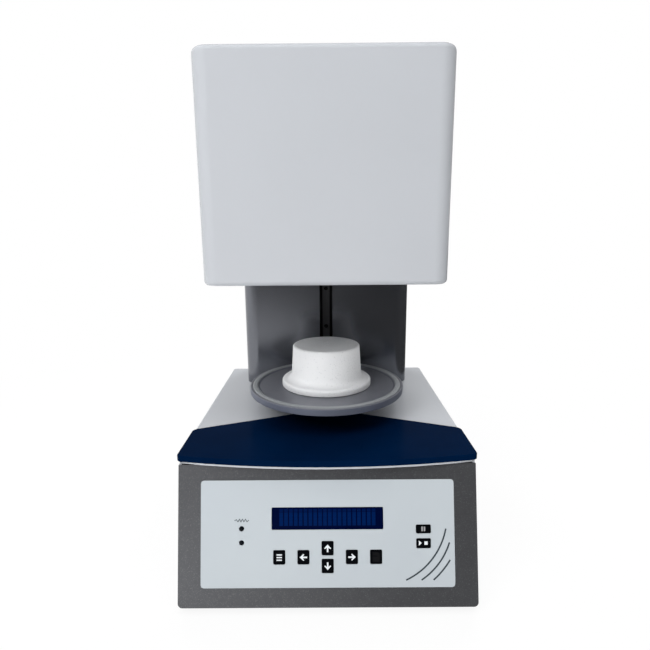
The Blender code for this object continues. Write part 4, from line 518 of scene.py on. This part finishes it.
def round_corner(shape, x, y, radius, steps):
    """Rounds the corner of a flat outline that is nearest to a point."""
    corner = min(shape.verts, key=lambda vert: (vert.co.xy - Vector((x, y))).length)
    round_off(shape, [corner], radius, steps, "VERTICES")


def edges_where(shape, test):
    """The edges whose two ends both pass a test."""
    return [edge for edge in shape.edges if all(test(vert.co) for vert in edge.verts)]


def upright_edges(shape):
    """The edges that stand upright."""
    return [
        edge for edge in shape.edges if (edge.verts[0].co - edge.verts[1].co).xy.length < MM
    ]


# %% Plates and boxes


def outline(corners, radius=0.0, steps=8):
    """A flat face between corners, each rounded alike."""
    shape = bmesh.new()
    shape.faces.new([shape.verts.new((x, y, 0)) for x, y in corners])
    if radius:
        round_off(shape, shape.verts[:], radius, steps, "VERTICES")
    return shape


def raised(shape, bottom, top):
    """Extrudes a flat shape from one height to another."""
    bmesh.ops.translate(shape, vec=(0, 0, bottom), verts=shape.verts)
    grown = bmesh.ops.extrude_face_region(shape, geom=shape.faces[:])
    lifted = [item for item in grown["geom"] if isinstance(item, bmesh.types.BMVert)]
    bmesh.ops.translate(shape, vec=(0, 0, top - bottom), verts=lifted)
    bmesh.ops.recalc_face_normals(shape, faces=shape.faces)
    return shape


def box_corners(low, high):
    """The four corners of a rectangle between two points."""
    return [(low[0], low[1]), (high[0], low[1]), (high[0], high[1]), (low[0], high[1])]


def solid_box(low, high):
    """A box between two corners."""
    return raised(outline(box_corners(low, high)), low[2], high[2])


def joined(shapes):
    """Several bmeshes as one."""
    whole = bmesh.new()
    for shape in shapes:
        held = bpy.data.meshes.new("held")
        shape.to_mesh(held)
        shape.free()
        whole.from_mesh(held)
        bpy.data.meshes.remove(held)
    return whole


# %% Spun shapes


def spun(profile, middle, steps=128):
    """Spins (radius, height) points about an upright axis through a middle point."""
    shape = bmesh.new()
    verts = [shape.verts.new((radius, 0, height)) for radius, height in profile]
    edges = [shape.edges.new(pair) for pair in zip(verts, verts[1:])]
    bmesh.ops.spin(
        shape,
        geom=verts + edges,
        cent=(0, 0, 0),
        axis=(0, 0, 1),
        angle=2 * math.pi,
        steps=steps,
        use_merge=True,
    )
    bmesh.ops.remove_doubles(shape, verts=shape.verts, dist=WELD)
    bmesh.ops.recalc_face_normals(shape, faces=shape.faces)
    bmesh.ops.translate(shape, vec=(middle[0], middle[1], 0), verts=shape.verts)
    return shape


def arc(centre, radius, start, end, steps=6):
    """Points of a profile along an arc, its angles in degrees."""
    angles = [math.radians(start + (end - start) * step / steps) for step in range(steps + 1)]
    return [(centre[0] + radius * math.cos(a), centre[1] + radius * math.sin(a)) for a in angles]


# %% Walls and cuts


def give_wall(piece, thickness):
    """Gives an open shell a wall that grows inwards."""
    wall = piece.modifiers.new("wall", "SOLIDIFY")
    wall.thickness, wall.offset, wall.use_even_offset = thickness, -1, True
    bake_modifiers(piece)


def carve(piece, cutter_shape):
    """Cuts a shape out of a piece."""
    cutter = new_object("cutter", cutter_shape, piece.data.materials[0])
    change = piece.modifiers.new("cut", "BOOLEAN")
    change.operation, change.solver, change.object = "DIFFERENCE", "EXACT", cutter
    bake_modifiers(piece)
    mesh = cutter.data
    bpy.data.objects.remove(cutter)
    bpy.data.meshes.remove(mesh)


# %% [markdown]
# ## Head cover
# The head is a deep-drawn white box, open below, with generous round corners. It starts as a box,
# its upright corners are rounded first and its top rim after them, so the bevel runs round the
# corners without pinching. The open underside is taken off and Solidify gives the sheet its wall.

# %% Head cover
HEAD_WALL, HEAD_LIP = 2.5 * MM, 1 * MM
HEAD_CORNER, HEAD_TOP_ROUND, HEAD_FOOT_ROUND = 16 * MM, 5.5 * MM, 4.5 * MM
head_low, head_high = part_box("head_cover")
shape = solid_box(head_low, head_high)
round_off(shape, upright_edges(shape), HEAD_CORNER, 14)
round_off(shape, edges_where(shape, lambda co: co.z > head_high.z - NEAR), HEAD_TOP_ROUND, 8)
round_off(shape, edges_where(shape, lambda co: co.z < head_low.z + NEAR), HEAD_FOOT_ROUND, 7)
under = [face for face in shape.faces if face.calc_center_median().z < head_low.z + NEAR]
bmesh.ops.inset_region(shape, faces=under, thickness=HEAD_LIP, use_even_offset=True)
bmesh.ops.delete(shape, geom=under, context="FACES")
head = new_object("head_shell", shape, head_coat_painted_darker)
give_wall(head, HEAD_WALL)

# %% [markdown]
# The rear wall has two stacks of cooling slots. A slot is a rounded outline, raised and tipped
# over, so that it points to the rear. One cutter holds all the slots of a stack, and a Boolean
# cuts them in one go. The same slots are in the column's rear plate.

# %% Cooling slots
SLOTS, SLOT_PITCH, SLOT_WIDTH, SLOT_HEIGHT = 7, 10 * MM, 60 * MM, 4 * MM
SLOT_ROUND = SLOT_HEIGHT / 2 * 0.98  # a hair under half, so that two corners never meet
STACK_ASIDE, STACK_DOWN = 45 * MM, 40 * MM
CUT_IN, CUT_OUT = 8 * MM, 4 * MM  # how far a cutter reaches in and out of the wall


def slot_stack(middle_x, top, y_low, y_high):
    """A cutter for a stack of level slots with round ends."""
    corners = box_corners((-SLOT_WIDTH / 2, -SLOT_HEIGHT / 2), (SLOT_WIDTH / 2, SLOT_HEIGHT / 2))
    stack = []
    for row in range(SLOTS):
        z = top - row * SLOT_PITCH - SLOT_HEIGHT / 2
        one = raised(outline(corners, SLOT_ROUND, 5), y_low, y_high)
        bmesh.ops.rotate(one, matrix=Matrix.Rotation(math.pi / 2, 3, "X"), verts=one.verts)
        bmesh.ops.scale(one, vec=(1, -1, 1), verts=one.verts)
        bmesh.ops.reverse_faces(one, faces=one.faces)
        bmesh.ops.translate(one, vec=(middle_x, 0, z), verts=one.verts)
        stack.append(one)
    return joined(stack)


for side in (-1, 1):
    x, top = side * STACK_ASIDE, head_high.z - STACK_DOWN
    carve(head, slot_stack(x, top, head_high.y - CUT_IN, head_high.y + CUT_OUT))
end_piece(head, "furnace", ["head_cover"])

# %% [markdown]
# ## Front cover
# A dark plate with a bowed front edge, clipped sides and rear edges that meet in a blunt point.
# Its outline is a handful of corners and one shallow arc. Each corner has its own radius, so they
# are rounded one by one before the plate is raised, and the top rim gets a small round.

# %% Front cover
COVER_THICK, COVER_ROUND, COVER_RIM = 6 * MM, 5 * MM, 1.2 * MM
APEX_ROUND, BOW_STEPS = 30 * MM, 40
cover_low, cover_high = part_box("front_cover")
half = cover_high.x
bow, side_length, slant = 14.5 * MM, 65.5 * MM, math.radians(21.5)
corner_y = cover_low.y + bow
side_y = corner_y + side_length
apex_y = side_y + half * math.tan(slant)
bow_radius = (half**2 + bow**2) / (2 * bow)
reach = math.asin(half / bow_radius)
front_edge = []
for step in range(BOW_STEPS + 1):
    angle = reach * (2 * step / BOW_STEPS - 1)
    front_edge.append(
        (bow_radius * math.sin(angle), cover_low.y + bow_radius * (1 - math.cos(angle)))
    )
shape = outline(front_edge + [(half, side_y), (0, apex_y), (-half, side_y)])
for x, y, radius in (
    (-half, corner_y, COVER_ROUND),
    (half, corner_y, COVER_ROUND),
    (half, side_y, COVER_ROUND),
    (0, apex_y, APEX_ROUND),
    (-half, side_y, COVER_ROUND),
):
    round_corner(shape, x, y, radius, 8)
raised(shape, cover_high.z - COVER_THICK, cover_high.z)
rim = edges_where(shape, lambda co: co.z > cover_high.z - NEAR)
round_off(shape, rim, COVER_RIM, 4)
add_piece("front_cover_plate", shape, navy_lacquer, "furnace", ["front_cover"])

# %% [markdown]
# ## Housing and column
# The white base is right as it is, so a welded copy with smooth corners stands for it. The column
# is a bent sheet: an open U with 20 mm corners, given its 2 mm wall by Solidify, and then slotted
# for the lift arm. The slot starts a little above the base and runs out at the top.

# %% Base housing
welded("base_housing", "base_shell", base_coat_painted_lighter, "furnace")

# %% Column
COLUMN_ROUND, COLUMN_WALL = 20 * MM, 2 * MM
LIFT_SLOT_HALF, LIFT_SLOT_FOOT = 9 * MM, 8.2 * MM
column_low, column_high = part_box("column_cover")
shape = solid_box(column_low, column_high)
front_corners = [
    edge for edge in upright_edges(shape) if edge.verts[0].co.y < column_low.y + NEAR
]
round_off(shape, front_corners, COLUMN_ROUND, 16)
open_faces = [
    face
    for face in shape.faces
    if abs(face.normal.z) > 0.9 or face.calc_center_median().y > column_high.y - NEAR
]
bmesh.ops.delete(shape, geom=open_faces, context="FACES")
column = new_object("column_shell", shape, column_paint)
give_wall(column, COLUMN_WALL)
slot_low = (-LIFT_SLOT_HALF, column_low.y - CUT_OUT, column_low.z + LIFT_SLOT_FOOT)
slot_high = (LIFT_SLOT_HALF, column_low.y + CUT_IN, column_high.z + CUT_OUT)
carve(column, solid_box(slot_low, slot_high))
end_piece(column, "furnace", ["column_cover"])
welded("column_back", "column_back_plate", column_paint, "furnace")

# %% [markdown]
# ## Table, seal and plug
# All three are turned or moulded round their axis, so each is one profile that is spun in 128
# steps, three times as fine as the CAD model. The table is dished, with a boss that centres the
# plug and a groove for the seal near its rim. The plug has a wide brim with a hollow fillet above
# it, and a small dimple on top.

# %% Lift table
TABLE_THICK, TABLE_ROUND, DISH_DEPTH = 7.6 * MM, 0.8 * MM, 1.2 * MM
DISH_FOOT, DISH_BEND, DISH_RIM = 82.8 * MM, 84.0 * MM, 84.4 * MM
BOSS_RADIUS, BOSS_HEIGHT, BOSS_EDGE = 12 * MM, 2.5 * MM, 0.3 * MM
SEAL_RADIUS, SEAL_HALF, GROOVE_DEPTH = 88.3 * MM, 3.1 * MM, 2 * MM
GROOVE_IN, GROOVE_OUT = SEAL_RADIUS - SEAL_HALF - 0.3 * MM, SEAL_RADIUS + SEAL_HALF + 0.3 * MM
centre = (table_middle.x, table_middle.y)
under, top = table_low.z, table_low.z + TABLE_THICK
dish, bend = top - DISH_DEPTH, table_high.x - TABLE_ROUND
profile = [
    (0, dish + BOSS_HEIGHT),
    (BOSS_RADIUS - BOSS_EDGE, dish + BOSS_HEIGHT),
    (BOSS_RADIUS, dish + BOSS_HEIGHT - BOSS_EDGE),
    (BOSS_RADIUS, dish),
    (DISH_FOOT, dish),
    (DISH_BEND, top - 0.2 * MM),
    (DISH_RIM, top),
    (GROOVE_IN, top),
    (GROOVE_IN, top - GROOVE_DEPTH),
    (GROOVE_OUT, top - GROOVE_DEPTH),
    (GROOVE_OUT, top),
    *arc((bend, top - TABLE_ROUND), TABLE_ROUND, 90, 0, 4),
    *arc((bend, under + TABLE_ROUND), TABLE_ROUND, 0, -90, 4),
    (0, under),
]
table = new_object("table_disc", spun(profile, centre), turned_aluminium)
# how far each face looks up, which places the edge's painted shade and painted reflection
ways = [max(polygon.normal.z, 0) for polygon in table.data.polygons]
table.data.attributes.new("upward_shade_mask", "FLOAT", "FACE").data.foreach_set("value", ways)
end_piece(table, "lift", ["lift_table"])

# %% Seal ring
SEAL_PROUD, SEAL_SUNK = 0.8 * MM, 1.7 * MM
inside, outside = SEAL_RADIUS - SEAL_HALF, SEAL_RADIUS + SEAL_HALF
profile = [(inside, top - SEAL_SUNK), (inside, top)]
for step in range(-3, 4):
    angle = step * math.pi / 8
    across, rise = SEAL_HALF * math.sin(angle), SEAL_PROUD * math.cos(angle)
    profile.append((SEAL_RADIUS + across, top + rise))
profile += [(outside, top), (outside, top - SEAL_SUNK), (inside, top - SEAL_SUNK)]
add_piece("table_seal", spun(profile, centre), silicone, "lift", ["seal_ring"])

# %% Firing plug
PLUG_TOP_RADIUS, PLUG_BODY_RADIUS, BRIM_HEIGHT = 41 * MM, 43 * MM, 8 * MM
PLUG_EDGE, FILLET, BRIM_ROUND, BRIM_EDGE = 2.6 * MM, 7 * MM, 3 * MM, 0.8 * MM
SOCKET_RADIUS, SOCKET_DEPTH = BOSS_RADIUS + 0.3 * MM, 2.5 * MM
DIMPLE = [(0, 1.5 * MM), (2.6 * MM, 1.4 * MM), (3.2 * MM, 1.0 * MM), (4.0 * MM, 0)]
plug_low, plug_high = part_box("firing_plug")
foot, crown, brim_radius = plug_low.z, plug_high.z, plug_high.x
brim = foot + BRIM_HEIGHT
profile = [
    *[(wide, crown - deep) for wide, deep in DIMPLE],
    *arc((PLUG_TOP_RADIUS - PLUG_EDGE, crown - PLUG_EDGE), PLUG_EDGE, 90, 4, 7),
    *arc((PLUG_BODY_RADIUS + FILLET, brim + FILLET), FILLET, 180, 270, 10),
    *arc((brim_radius - BRIM_ROUND, brim - BRIM_ROUND), BRIM_ROUND, 90, 0, 6),
    *arc((brim_radius - BRIM_EDGE, foot + BRIM_EDGE), BRIM_EDGE, 0, -90, 3),
    (SOCKET_RADIUS, foot),
    (SOCKET_RADIUS, foot + SOCKET_DEPTH),
    (0, foot + SOCKET_DEPTH),
]
add_piece("fibre_plug", spun(profile, centre), ceramic_fibre, "plug", ["firing_plug"])

# %% [markdown]
# ## Signs on the panel
# The panel leans back by 14.3 degrees. Its signs are laid out flat, with X to the right and Y up
# the slope, raised by a few hundredths of a millimetre as printed ink is drawn here, and then
# turned into place by one matrix.

# %% The panel's plane
LEAN = math.radians(14.3)
WINDOW_TOP, FILM_TOP, KEY_TOP, INK = 0.5 * MM, 0.8 * MM, 1.2 * MM, 0.05 * MM
panel_foot = Vector((0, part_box("control_panel")[0].y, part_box("base_housing")[0].z))
on_panel = Matrix.Translation(panel_foot) @ Matrix.Rotation(math.pi / 2 - LEAN, 4, "X")
print("panel's foot, mm:", [round(part * 1000, 1) for part in panel_foot])


def print_sign(name, shapes, height, finish, body):
    """Raises flat shapes by the thickness of ink, joins them and lays them on the panel."""
    sign = joined([raised(one, height, height + INK) for one in shapes])
    bmesh.ops.transform(sign, matrix=on_panel, verts=sign.verts)
    return add_piece(name, sign, finish, body)


def bar(x, y, width, height):
    """A flat rectangle about a middle, in millimetres."""
    low = ((x - width / 2) * MM, (y - height / 2) * MM)
    return outline(box_corners(low, ((x + width / 2) * MM, (y + height / 2) * MM)))


def polygon(points, x=0.0, y=0.0, turn=0.0):
    """A flat shape from points in millimetres, turned by quarter turns and moved."""
    shape = outline([(px * MM, py * MM) for px, py in points])
    turned = Matrix.Rotation(turn * math.pi / 2, 3, "Z")
    bmesh.ops.rotate(shape, matrix=turned, verts=shape.verts)
    bmesh.ops.translate(shape, vec=(x * MM, y * MM, 0), verts=shape.verts)
    return shape


# %% [markdown]
# The arrow is one outline, drawn pointing up and turned for the other three keys. Pause and
# play/stop are bars, a triangle and a square. The first key has three plain bars for a list of
# programs, and the last one a faint sheet.

# %% Signs on the keys
KEY_PITCH, KEY_ROW, UPPER_ROW, LOWER_ROW = 24.2, 49.7, 58.4, 41.0
ARROW = [(-0.8, -3.7), (0.8, -3.7), (0.8, 0.6), (2.8, -0.7), (3.4, 0.1), (0, 3.8)]
ARROW += [(-3.4, 0.1), (-2.8, -0.7), (-0.8, 0.6)]
for key, x, y, turn in (
    ("up", 0, UPPER_ROW, 0),
    ("down", 0, LOWER_ROW, 2),
    ("left", -KEY_PITCH, KEY_ROW, 1),
    ("right", KEY_PITCH, KEY_ROW, 3),
):
    sign = polygon(ARROW, x, y, turn)
    print_sign("arrow_" + key, [sign], KEY_TOP, white_ink, f"key_{key}_cap")
bars = [bar(-2 * KEY_PITCH, KEY_ROW + rise, 5.4, 1.2) for rise in (-2.6, 0, 2.6)]
print_sign("list_sign", bars, KEY_TOP, white_ink, "key_text_cap")
SHEET = [(-3.6, 1.4), (1.4, 1.4), (1.4, 0.4), (-3.6, 0.4), (-3.6, -4.8), (3.6, -4.8)]
SHEET += [(3.6, 2.8), (1.8, 4.6), (-3.6, 4.6)]
sheet = polygon(SHEET, 2 * KEY_PITCH, KEY_ROW)
print_sign("sheet_sign", [sheet], KEY_TOP, faint_ink, "key_enter_cap")
PAUSE_X, PAUSE_Y, PLAY_X, STOP_X, START_Y = 95.8, 77.0, 92.5, 98.3, 63.1
pause = [bar(PAUSE_X + side * 1.2, PAUSE_Y, 1.5, 4.4) for side in (-1, 1)]
print_sign("pause_sign", pause, KEY_TOP, grey_ink, "key_pause_cap")
PLAY = [(-1.4, -2.6), (1.6, 0), (-1.4, 2.6), (-1.1, 0)]
play = [polygon(PLAY, PLAY_X, START_Y), bar(STOP_X, START_Y - 0.1, 3.3, 3.4)]
print_sign("start_stop_sign", play, KEY_TOP, white_ink, "key_start_cap")

# %% [markdown]
# The label carries three thin curved stripes in its lower right corner, a plain ornament, and a
# small zigzag over the heating lamp. Three points fix a stripe's circle, and a short edge spun
# about its middle makes the ribbon. The zigzag is a band whose corners reach further, so that it
# keeps its width.

# %% Stripes and the heating sign


def stripe(start, middle, end, width):
    """A ribbon along the circle through three points, in millimetres."""
    (ax, ay), (bx, by), (cx, cy) = start, middle, end
    twice_area = 2 * (ax * (by - cy) + bx * (cy - ay) + cx * (ay - by))
    a2, b2, c2 = ax**2 + ay**2, bx**2 + by**2, cx**2 + cy**2
    x = (a2 * (by - cy) + b2 * (cy - ay) + c2 * (ay - by)) / twice_area
    y = (a2 * (cx - bx) + b2 * (ax - cx) + c2 * (bx - ax)) / twice_area
    radius = math.hypot(ax - x, ay - y)
    first, last = math.atan2(ay - y, ax - x), math.atan2(cy - y, cx - x)
    sweep = (last - first + math.pi) % (2 * math.pi) - math.pi
    ribbon = bmesh.new()
    ends = [
        ribbon.verts.new(((x + r * math.cos(first)) * MM, (y + r * math.sin(first)) * MM, 0))
        for r in (radius - width / 2, radius + width / 2)
    ]
    bmesh.ops.spin(
        ribbon,
        geom=[*ends, ribbon.edges.new(ends)],
        cent=(x * MM, y * MM, 0),
        axis=(0, 0, 1),
        angle=sweep,
        steps=28,
    )
    return ribbon


def band(points, width):
    """A band of one width along a bent line, in millimetres."""
    path = [Vector(point) for point in points]
    upper, lower = [], []
    for step, here in enumerate(path):
        ahead = (path[min(step + 1, len(path) - 1)] - here).normalized()
        behind = (here - path[max(step - 1, 0)]).normalized()
        along = (ahead + behind).normalized()
        reach = width / 2 / along.dot(behind if step else ahead)
        upper.append((here.x - along.y * reach, here.y + along.x * reach))
        lower.append((here.x + along.y * reach, here.y - along.x * reach))
    return polygon(upper + lower[::-1])


STRIPE_WIDTH = 1.55
STRIPES = [
    ((118.4, 77.0), (105.4, 48.5), (78.0, 26.8)),
    ((121.8, 63.4), (112.2, 44.6), (93.4, 26.8)),
    ((122.2, 46.3), (114.9, 36.3), (105.4, 26.8)),
]
stripes = [stripe(*line, STRIPE_WIDTH) for line in STRIPES]
print_sign("corner_stripes", stripes, FILM_TOP, dark_ink, "furnace")
ZIG_START, ZIG_STEP, ZIG_HIGH, ZIG_LOW, ZIG_WIDTH = -89.7, 1.5, 87.4, 84.9, 0.75
zigzag = [(-93.2, 86.0), (-91.3, 87.0)]
zigzag += [(ZIG_START + ZIG_STEP * step, ZIG_HIGH if step % 2 else ZIG_LOW) for step in range(7)]
zigzag.append((-78.7, 86.5))
print_sign("heating_sign", [band(zigzag, ZIG_WIDTH)], FILM_TOP, wave_ink, "furnace")

# %% [markdown]
# ## Display cells and lamps
# An unlit character display still shows its grid of cells through the tinted window, so twenty
# pale bars in two rows are laid just over it, and no character is drawn. A lamp is a lens in a
# hole of the panel: half a circle, squashed to half its height, spun in 32 steps.

# %% Display cells
CELLS, CELL_PITCH, CELL_WIDTH = 20, 4.88, 3.7
columns = [CELL_PITCH * (column + 0.5 - CELLS / 2) for column in range(CELLS)]
cells = [bar(x, 87.1, CELL_WIDTH, 13.2) for x in columns]
print_sign("display_cells", cells, WINDOW_TOP, display_cell, "furnace")
rims = [bar(x, 95.6, CELL_WIDTH, 3.0) for x in columns]
print_sign("display_upper_row", rims, WINDOW_TOP, display_rim, "furnace")

# %% Lamps of the panel
LENS_RADIUS, LENS_SHOULDER, LENS_FOOT = 2.4 * MM, 0.5 * MM, -3 * MM
LENS_X, LENS_ROWS = -86.1 * MM, {"heating_lamp": 78.0 * MM, "vacuum_lamp": 64.1 * MM}
dome = [(0, LENS_RADIUS), *arc((0, 0), LENS_RADIUS, 80, 0, 8)]
profile = [(wide, LENS_SHOULDER + height / 2) for wide, height in dome]
profile += [(LENS_RADIUS, LENS_FOOT), (0, LENS_FOOT)]
for node, up in LENS_ROWS.items():
    shape = spun(profile, (LENS_X, up), 32)
    bmesh.ops.transform(shape, matrix=on_panel, verts=shape.verts)
    add_piece(node + "_lens", shape, lamp_lens, "furnace", [node])

# %% [markdown]
# ## Rear fittings, feet and the other nodes
# What stays as the CAD model made it gets its real finish, apart from the column's frame, whose
# near-black is painted shade. Round pieces that show, such as the feet and the hose port, are
# welded copies with smooth sides.

# %% Finishes for the CAD nodes
FINISHES = {
    metallic_paint: ["control_panel"],
    label_film: ["panel_label"],
    key_rubber: [node for node in nodes if node.startswith("key_")],
    display_glass: ["display_window"],
    board_green: ["keypad_board", "main_board"],
    black_plastic: [
        "display_module",
        "mains_inlet",
        "pump_outlet",
        "switch_housing",
        "switch_rocker",
    ],
    zinc_steel: ["base_plate", "chamber_can", "chamber_lid"],
    # painted shade: the column's frame is near-black so that the column's inside shows as shade
    # through the slot
    black_oxide_and_shade_steel: ["column_frame", "lift_motor"],
    rail_steel: ["guide_rail"],
    cast_steel: ["transformer_core", "lift_arm"],
    ground_steel: ["lead_screw", "upper_bearing", "lower_bearing"],
    machined: ["heat_sink", "rail_carriage", "motor_coupling"],
    bronze: ["lift_nut"],
    copper: ["transformer_coil", "vacuum_line"],
    resistance_wire: ["heating_coil"],
    ceramic_fibre: ["upper_insulation", "thermocouple"],
}
for finish, names in FINISHES.items():
    for name in names:
        nodes[name].data.materials.clear()
        nodes[name].data.materials.append(finish)
    print(finish.name, "on", ", ".join(names))

# %% Copies with smooth sides
for number in (1, 2, 3, 4):
    welded(f"foot_{number}", f"rubber_foot_{number}", foot_rubber, "furnace")
for number in (1, 2, 3):
    welded(f"rail_screw_{number}", f"socket_screw_{number}", black_oxide_and_shade_steel, "furnace")
welded("vacuum_port", "hose_port", machined, "furnace")
welded("head_floor", "head_floor_plate", zinc_steel, "furnace")
welded("muffle_collar", "muffle_lower_ring", ceramic_fibre, "furnace")
welded("muffle_insulation", "muffle_body", ceramic_fibre, "furnace")
welded("quartz_liner", "quartz_tube", quartz, "furnace")

# %% [markdown]
# ## Floor, light and camera
# The furnace stands on a plain pale floor against white. Where the camera looks, the floor is
# mostly its own soft white, so it keeps only a light shadow. A mirror would show all that white
# and look flat, so reflections see a room instead: a bright window on the left, dim in front, and
# a little brighter on the far right and at the back. That way rounded pieces show their form. Apart
# from the lamps, the light that falls on the object is the same plain grey from everywhere.

# %% What reflections see
DIM = 0.12  # the room's level where nothing lights it


def seen_rays(tree):
    """The share of rays that see the background: camera, glossy and transmitted ones."""
    rays = add_node(tree, "LightPath")
    seen = add_node(
        tree,
        "Math",
        {0: (rays, "Is Camera Ray"), 1: (rays, "Is Glossy Ray")},
        operation="MAXIMUM",
    )
    seen = add_node(
        tree, "Math", {0: (seen, 0), 1: (rays, "Is Transmission Ray")}, operation="MAXIMUM"
    )
    return rays, seen


# %% Floor
FLOOR_HALF = 6.0
SHADOW_REACH, SHADOW_SHARE = (0.25, 1.0), 0.9  # near the object, a tenth of the floor is lit
floor_shape = outline(box_corners((-FLOOR_HALF, -FLOOR_HALF), (FLOOR_HALF, FLOOR_HALF)))
floor_look = bpy.data.materials.new("pale_floor")
floor_look.use_nodes = True
tree = floor_look.node_tree
shader = tree.nodes["Principled BSDF"]
shader.inputs["Base Color"].default_value = linear(0xF4F4F4)
shader.inputs["Roughness"].default_value = 0.9
rays, seen = seen_rays(tree)
place = add_node(tree, "TexCoord")
away = add_node(tree, "VectorMath", {0: (place, "Object")}, operation="LENGTH")
white = add_node(
    tree,
    "MapRange",
    {
        "Value": (away, "Value"),
        "From Min": SHADOW_REACH[0],
        "From Max": SHADOW_REACH[1],
        "To Min": SHADOW_SHARE,
        "To Max": 1.0,
    },
)
share = add_node(tree, "Math", {0: (seen, 0), 1: (white, "Result")}, operation="MULTIPLY")
across = add_node(tree, "SeparateXYZ", {0: (place, "Object")})
window = add_node(
    tree,
    "MapRange",
    {"Value": (across, "X"), "From Min": -0.3, "From Max": 0.15, "To Min": 1.0, "To Max": 0.05},
    interpolation_type="SMOOTHSTEP",
)
near = add_node(
    tree,
    "MapRange",
    {"Value": (across, "Y"), "From Min": -1.9, "From Max": -0.9, "To Min": DIM, "To Max": 1.0},
)
lit = add_node(tree, "Math", {0: (window, "Result"), 1: (near, "Result")}, operation="MULTIPLY")
level = add_node(tree, "Math", {0: (lit, 0), 1: (rays, "Is Camera Ray")}, operation="MAXIMUM")
glow = add_node(tree, "Emission", {"Color": linear(0xFFFFFF), "Strength": (level, 0)})
blend = add_node(tree, "MixShader", {0: (share, 0), 1: (shader, 0), 2: (glow, 0)})
tree.links.new(blend.outputs[0], tree.nodes["Material Output"].inputs["Surface"])
floor = new_object("floor", floor_shape, floor_look)
print("floor:", 2 * FLOOR_HALF, "m across")

# %% World
WINDOW, RIGHT, REAR, PLAIN = 0.9, 0.4, 0.5, 0.3  # levels; the last one lights the object
world = bpy.data.worlds.new("pale_room")
bpy.context.scene.world = world
world.use_nodes = True
tree = world.node_tree
rays, seen = seen_rays(tree)
way = add_node(tree, "TexCoord")
sides = add_node(tree, "SeparateXYZ", {0: (way, "Generated")})
window = add_node(
    tree,
    "MapRange",
    {"Value": (sides, "X"), "From Min": -0.5, "From Max": -0.05, "To Min": WINDOW, "To Max": DIM},
    interpolation_type="SMOOTHSTEP",
)
right = add_node(
    tree,
    "MapRange",
    {"Value": (sides, "X"), "From Min": 0.4, "From Max": 0.9, "To Min": DIM, "To Max": RIGHT},
)
rear = add_node(
    tree,
    "MapRange",
    {"Value": (sides, "Y"), "From Min": 0.2, "From Max": 0.9, "To Min": DIM, "To Max": REAR},
)
room = add_node(tree, "Math", {0: (right, "Result"), 1: (rear, "Result")}, operation="MAXIMUM")
room = add_node(tree, "Math", {0: (room, 0), 1: (window, "Result")}, operation="MAXIMUM")
lit = add_node(tree, "Mix", {0: (seen, 0), 2: PLAIN, 3: (room, 0)})
strength = add_node(tree, "Math", {0: (lit, 0), 1: (rays, "Is Camera Ray")}, operation="MAXIMUM")
sky = tree.nodes["Background"]
sky.inputs["Color"].default_value = linear(0xFFFFFF)
tree.links.new(strength.outputs[0], sky.inputs["Strength"])
print("world:", world.name, "- window", WINDOW, "- right", RIGHT, "- rear", REAR)

# %% [markdown]
# ## Lamps
# A window on the left, a low card in front and a ceiling give the photograph's light: the left of
# each round piece is the brighter side. Two weaker lamps behind keep the rear from going dark when
# the object is turned. Reflections don't see the lamps, because the room above is drawn for them.

# %% Lamps
MIDDLE = (0, 0, 0.25)  # about the middle of the furnace


def softbox(name, place, target, width, height, power):
    """A soft oblong lamp aimed at a point."""
    lamp = bpy.data.lights.new(name, "AREA")
    lamp.shape, lamp.size, lamp.size_y, lamp.energy = "RECTANGLE", width, height, power
    made = bpy.data.objects.new(name, lamp)
    made.visible_glossy = False
    made.location = place
    made.rotation_euler = (Vector(target) - Vector(place)).to_track_quat("-Z", "Y").to_euler()
    bpy.context.scene.collection.objects.link(made)
    print("lamp:", name, power, "W")


softbox("window", (-1.05, -1.25, 1.5), MIDDLE, 0.9, 0.9, 15.5)
softbox("low_card", (-0.45, -1.4, 0.1), MIDDLE, 1.3, 0.2, 5.4)
softbox("ceiling", (0.1, -0.5, 2.0), (0, 0, 0.13), 1.6, 1.6, 24)
softbox("right_rear_fill", (0.85, 1.5, 1.1), MIDDLE, 1.0, 1.0, 15)
softbox("left_rear_fill", (-1.0, 1.4, 1.1), MIDDLE, 1.0, 1.0, 10)

# %% [markdown]
# The camera stands a little above the table's height and looks down by 11.7 degrees, where the
# photograph was taken from. Its matrix comes straight from the three small turns found for it.

# %% Camera
STANDS_AT, SENSOR, FOCAL = (0.0008, -0.59965, 0.38216), 36, 26.93  # metres, and millimetres
pitch, roll, yaw = 0.2047, -0.0083, 0.0036  # radians
right = Vector((math.cos(roll), math.sin(roll) * math.sin(pitch), math.sin(roll) * math.cos(pitch)))
up = Vector((-math.sin(roll), math.cos(roll) * math.sin(pitch), math.cos(roll) * math.cos(pitch)))
turn = Matrix((right, up, right.cross(up))).transposed()
turn = Matrix.Rotation(yaw, 3, "Z") @ turn
lens = bpy.data.cameras.new("camera")
lens.sensor_width, lens.lens = SENSOR, FOCAL
camera = bpy.data.objects.new("camera", lens)
camera.matrix_world = Matrix.Translation(STANDS_AT) @ turn.to_4x4()
bpy.context.scene.collection.objects.link(camera)
bpy.context.scene.camera = camera
bpy.context.scene.view_settings.view_transform = "Standard"
print("camera:", FOCAL, "mm lens, looking down by", round(math.degrees(pitch), 1), "degrees")
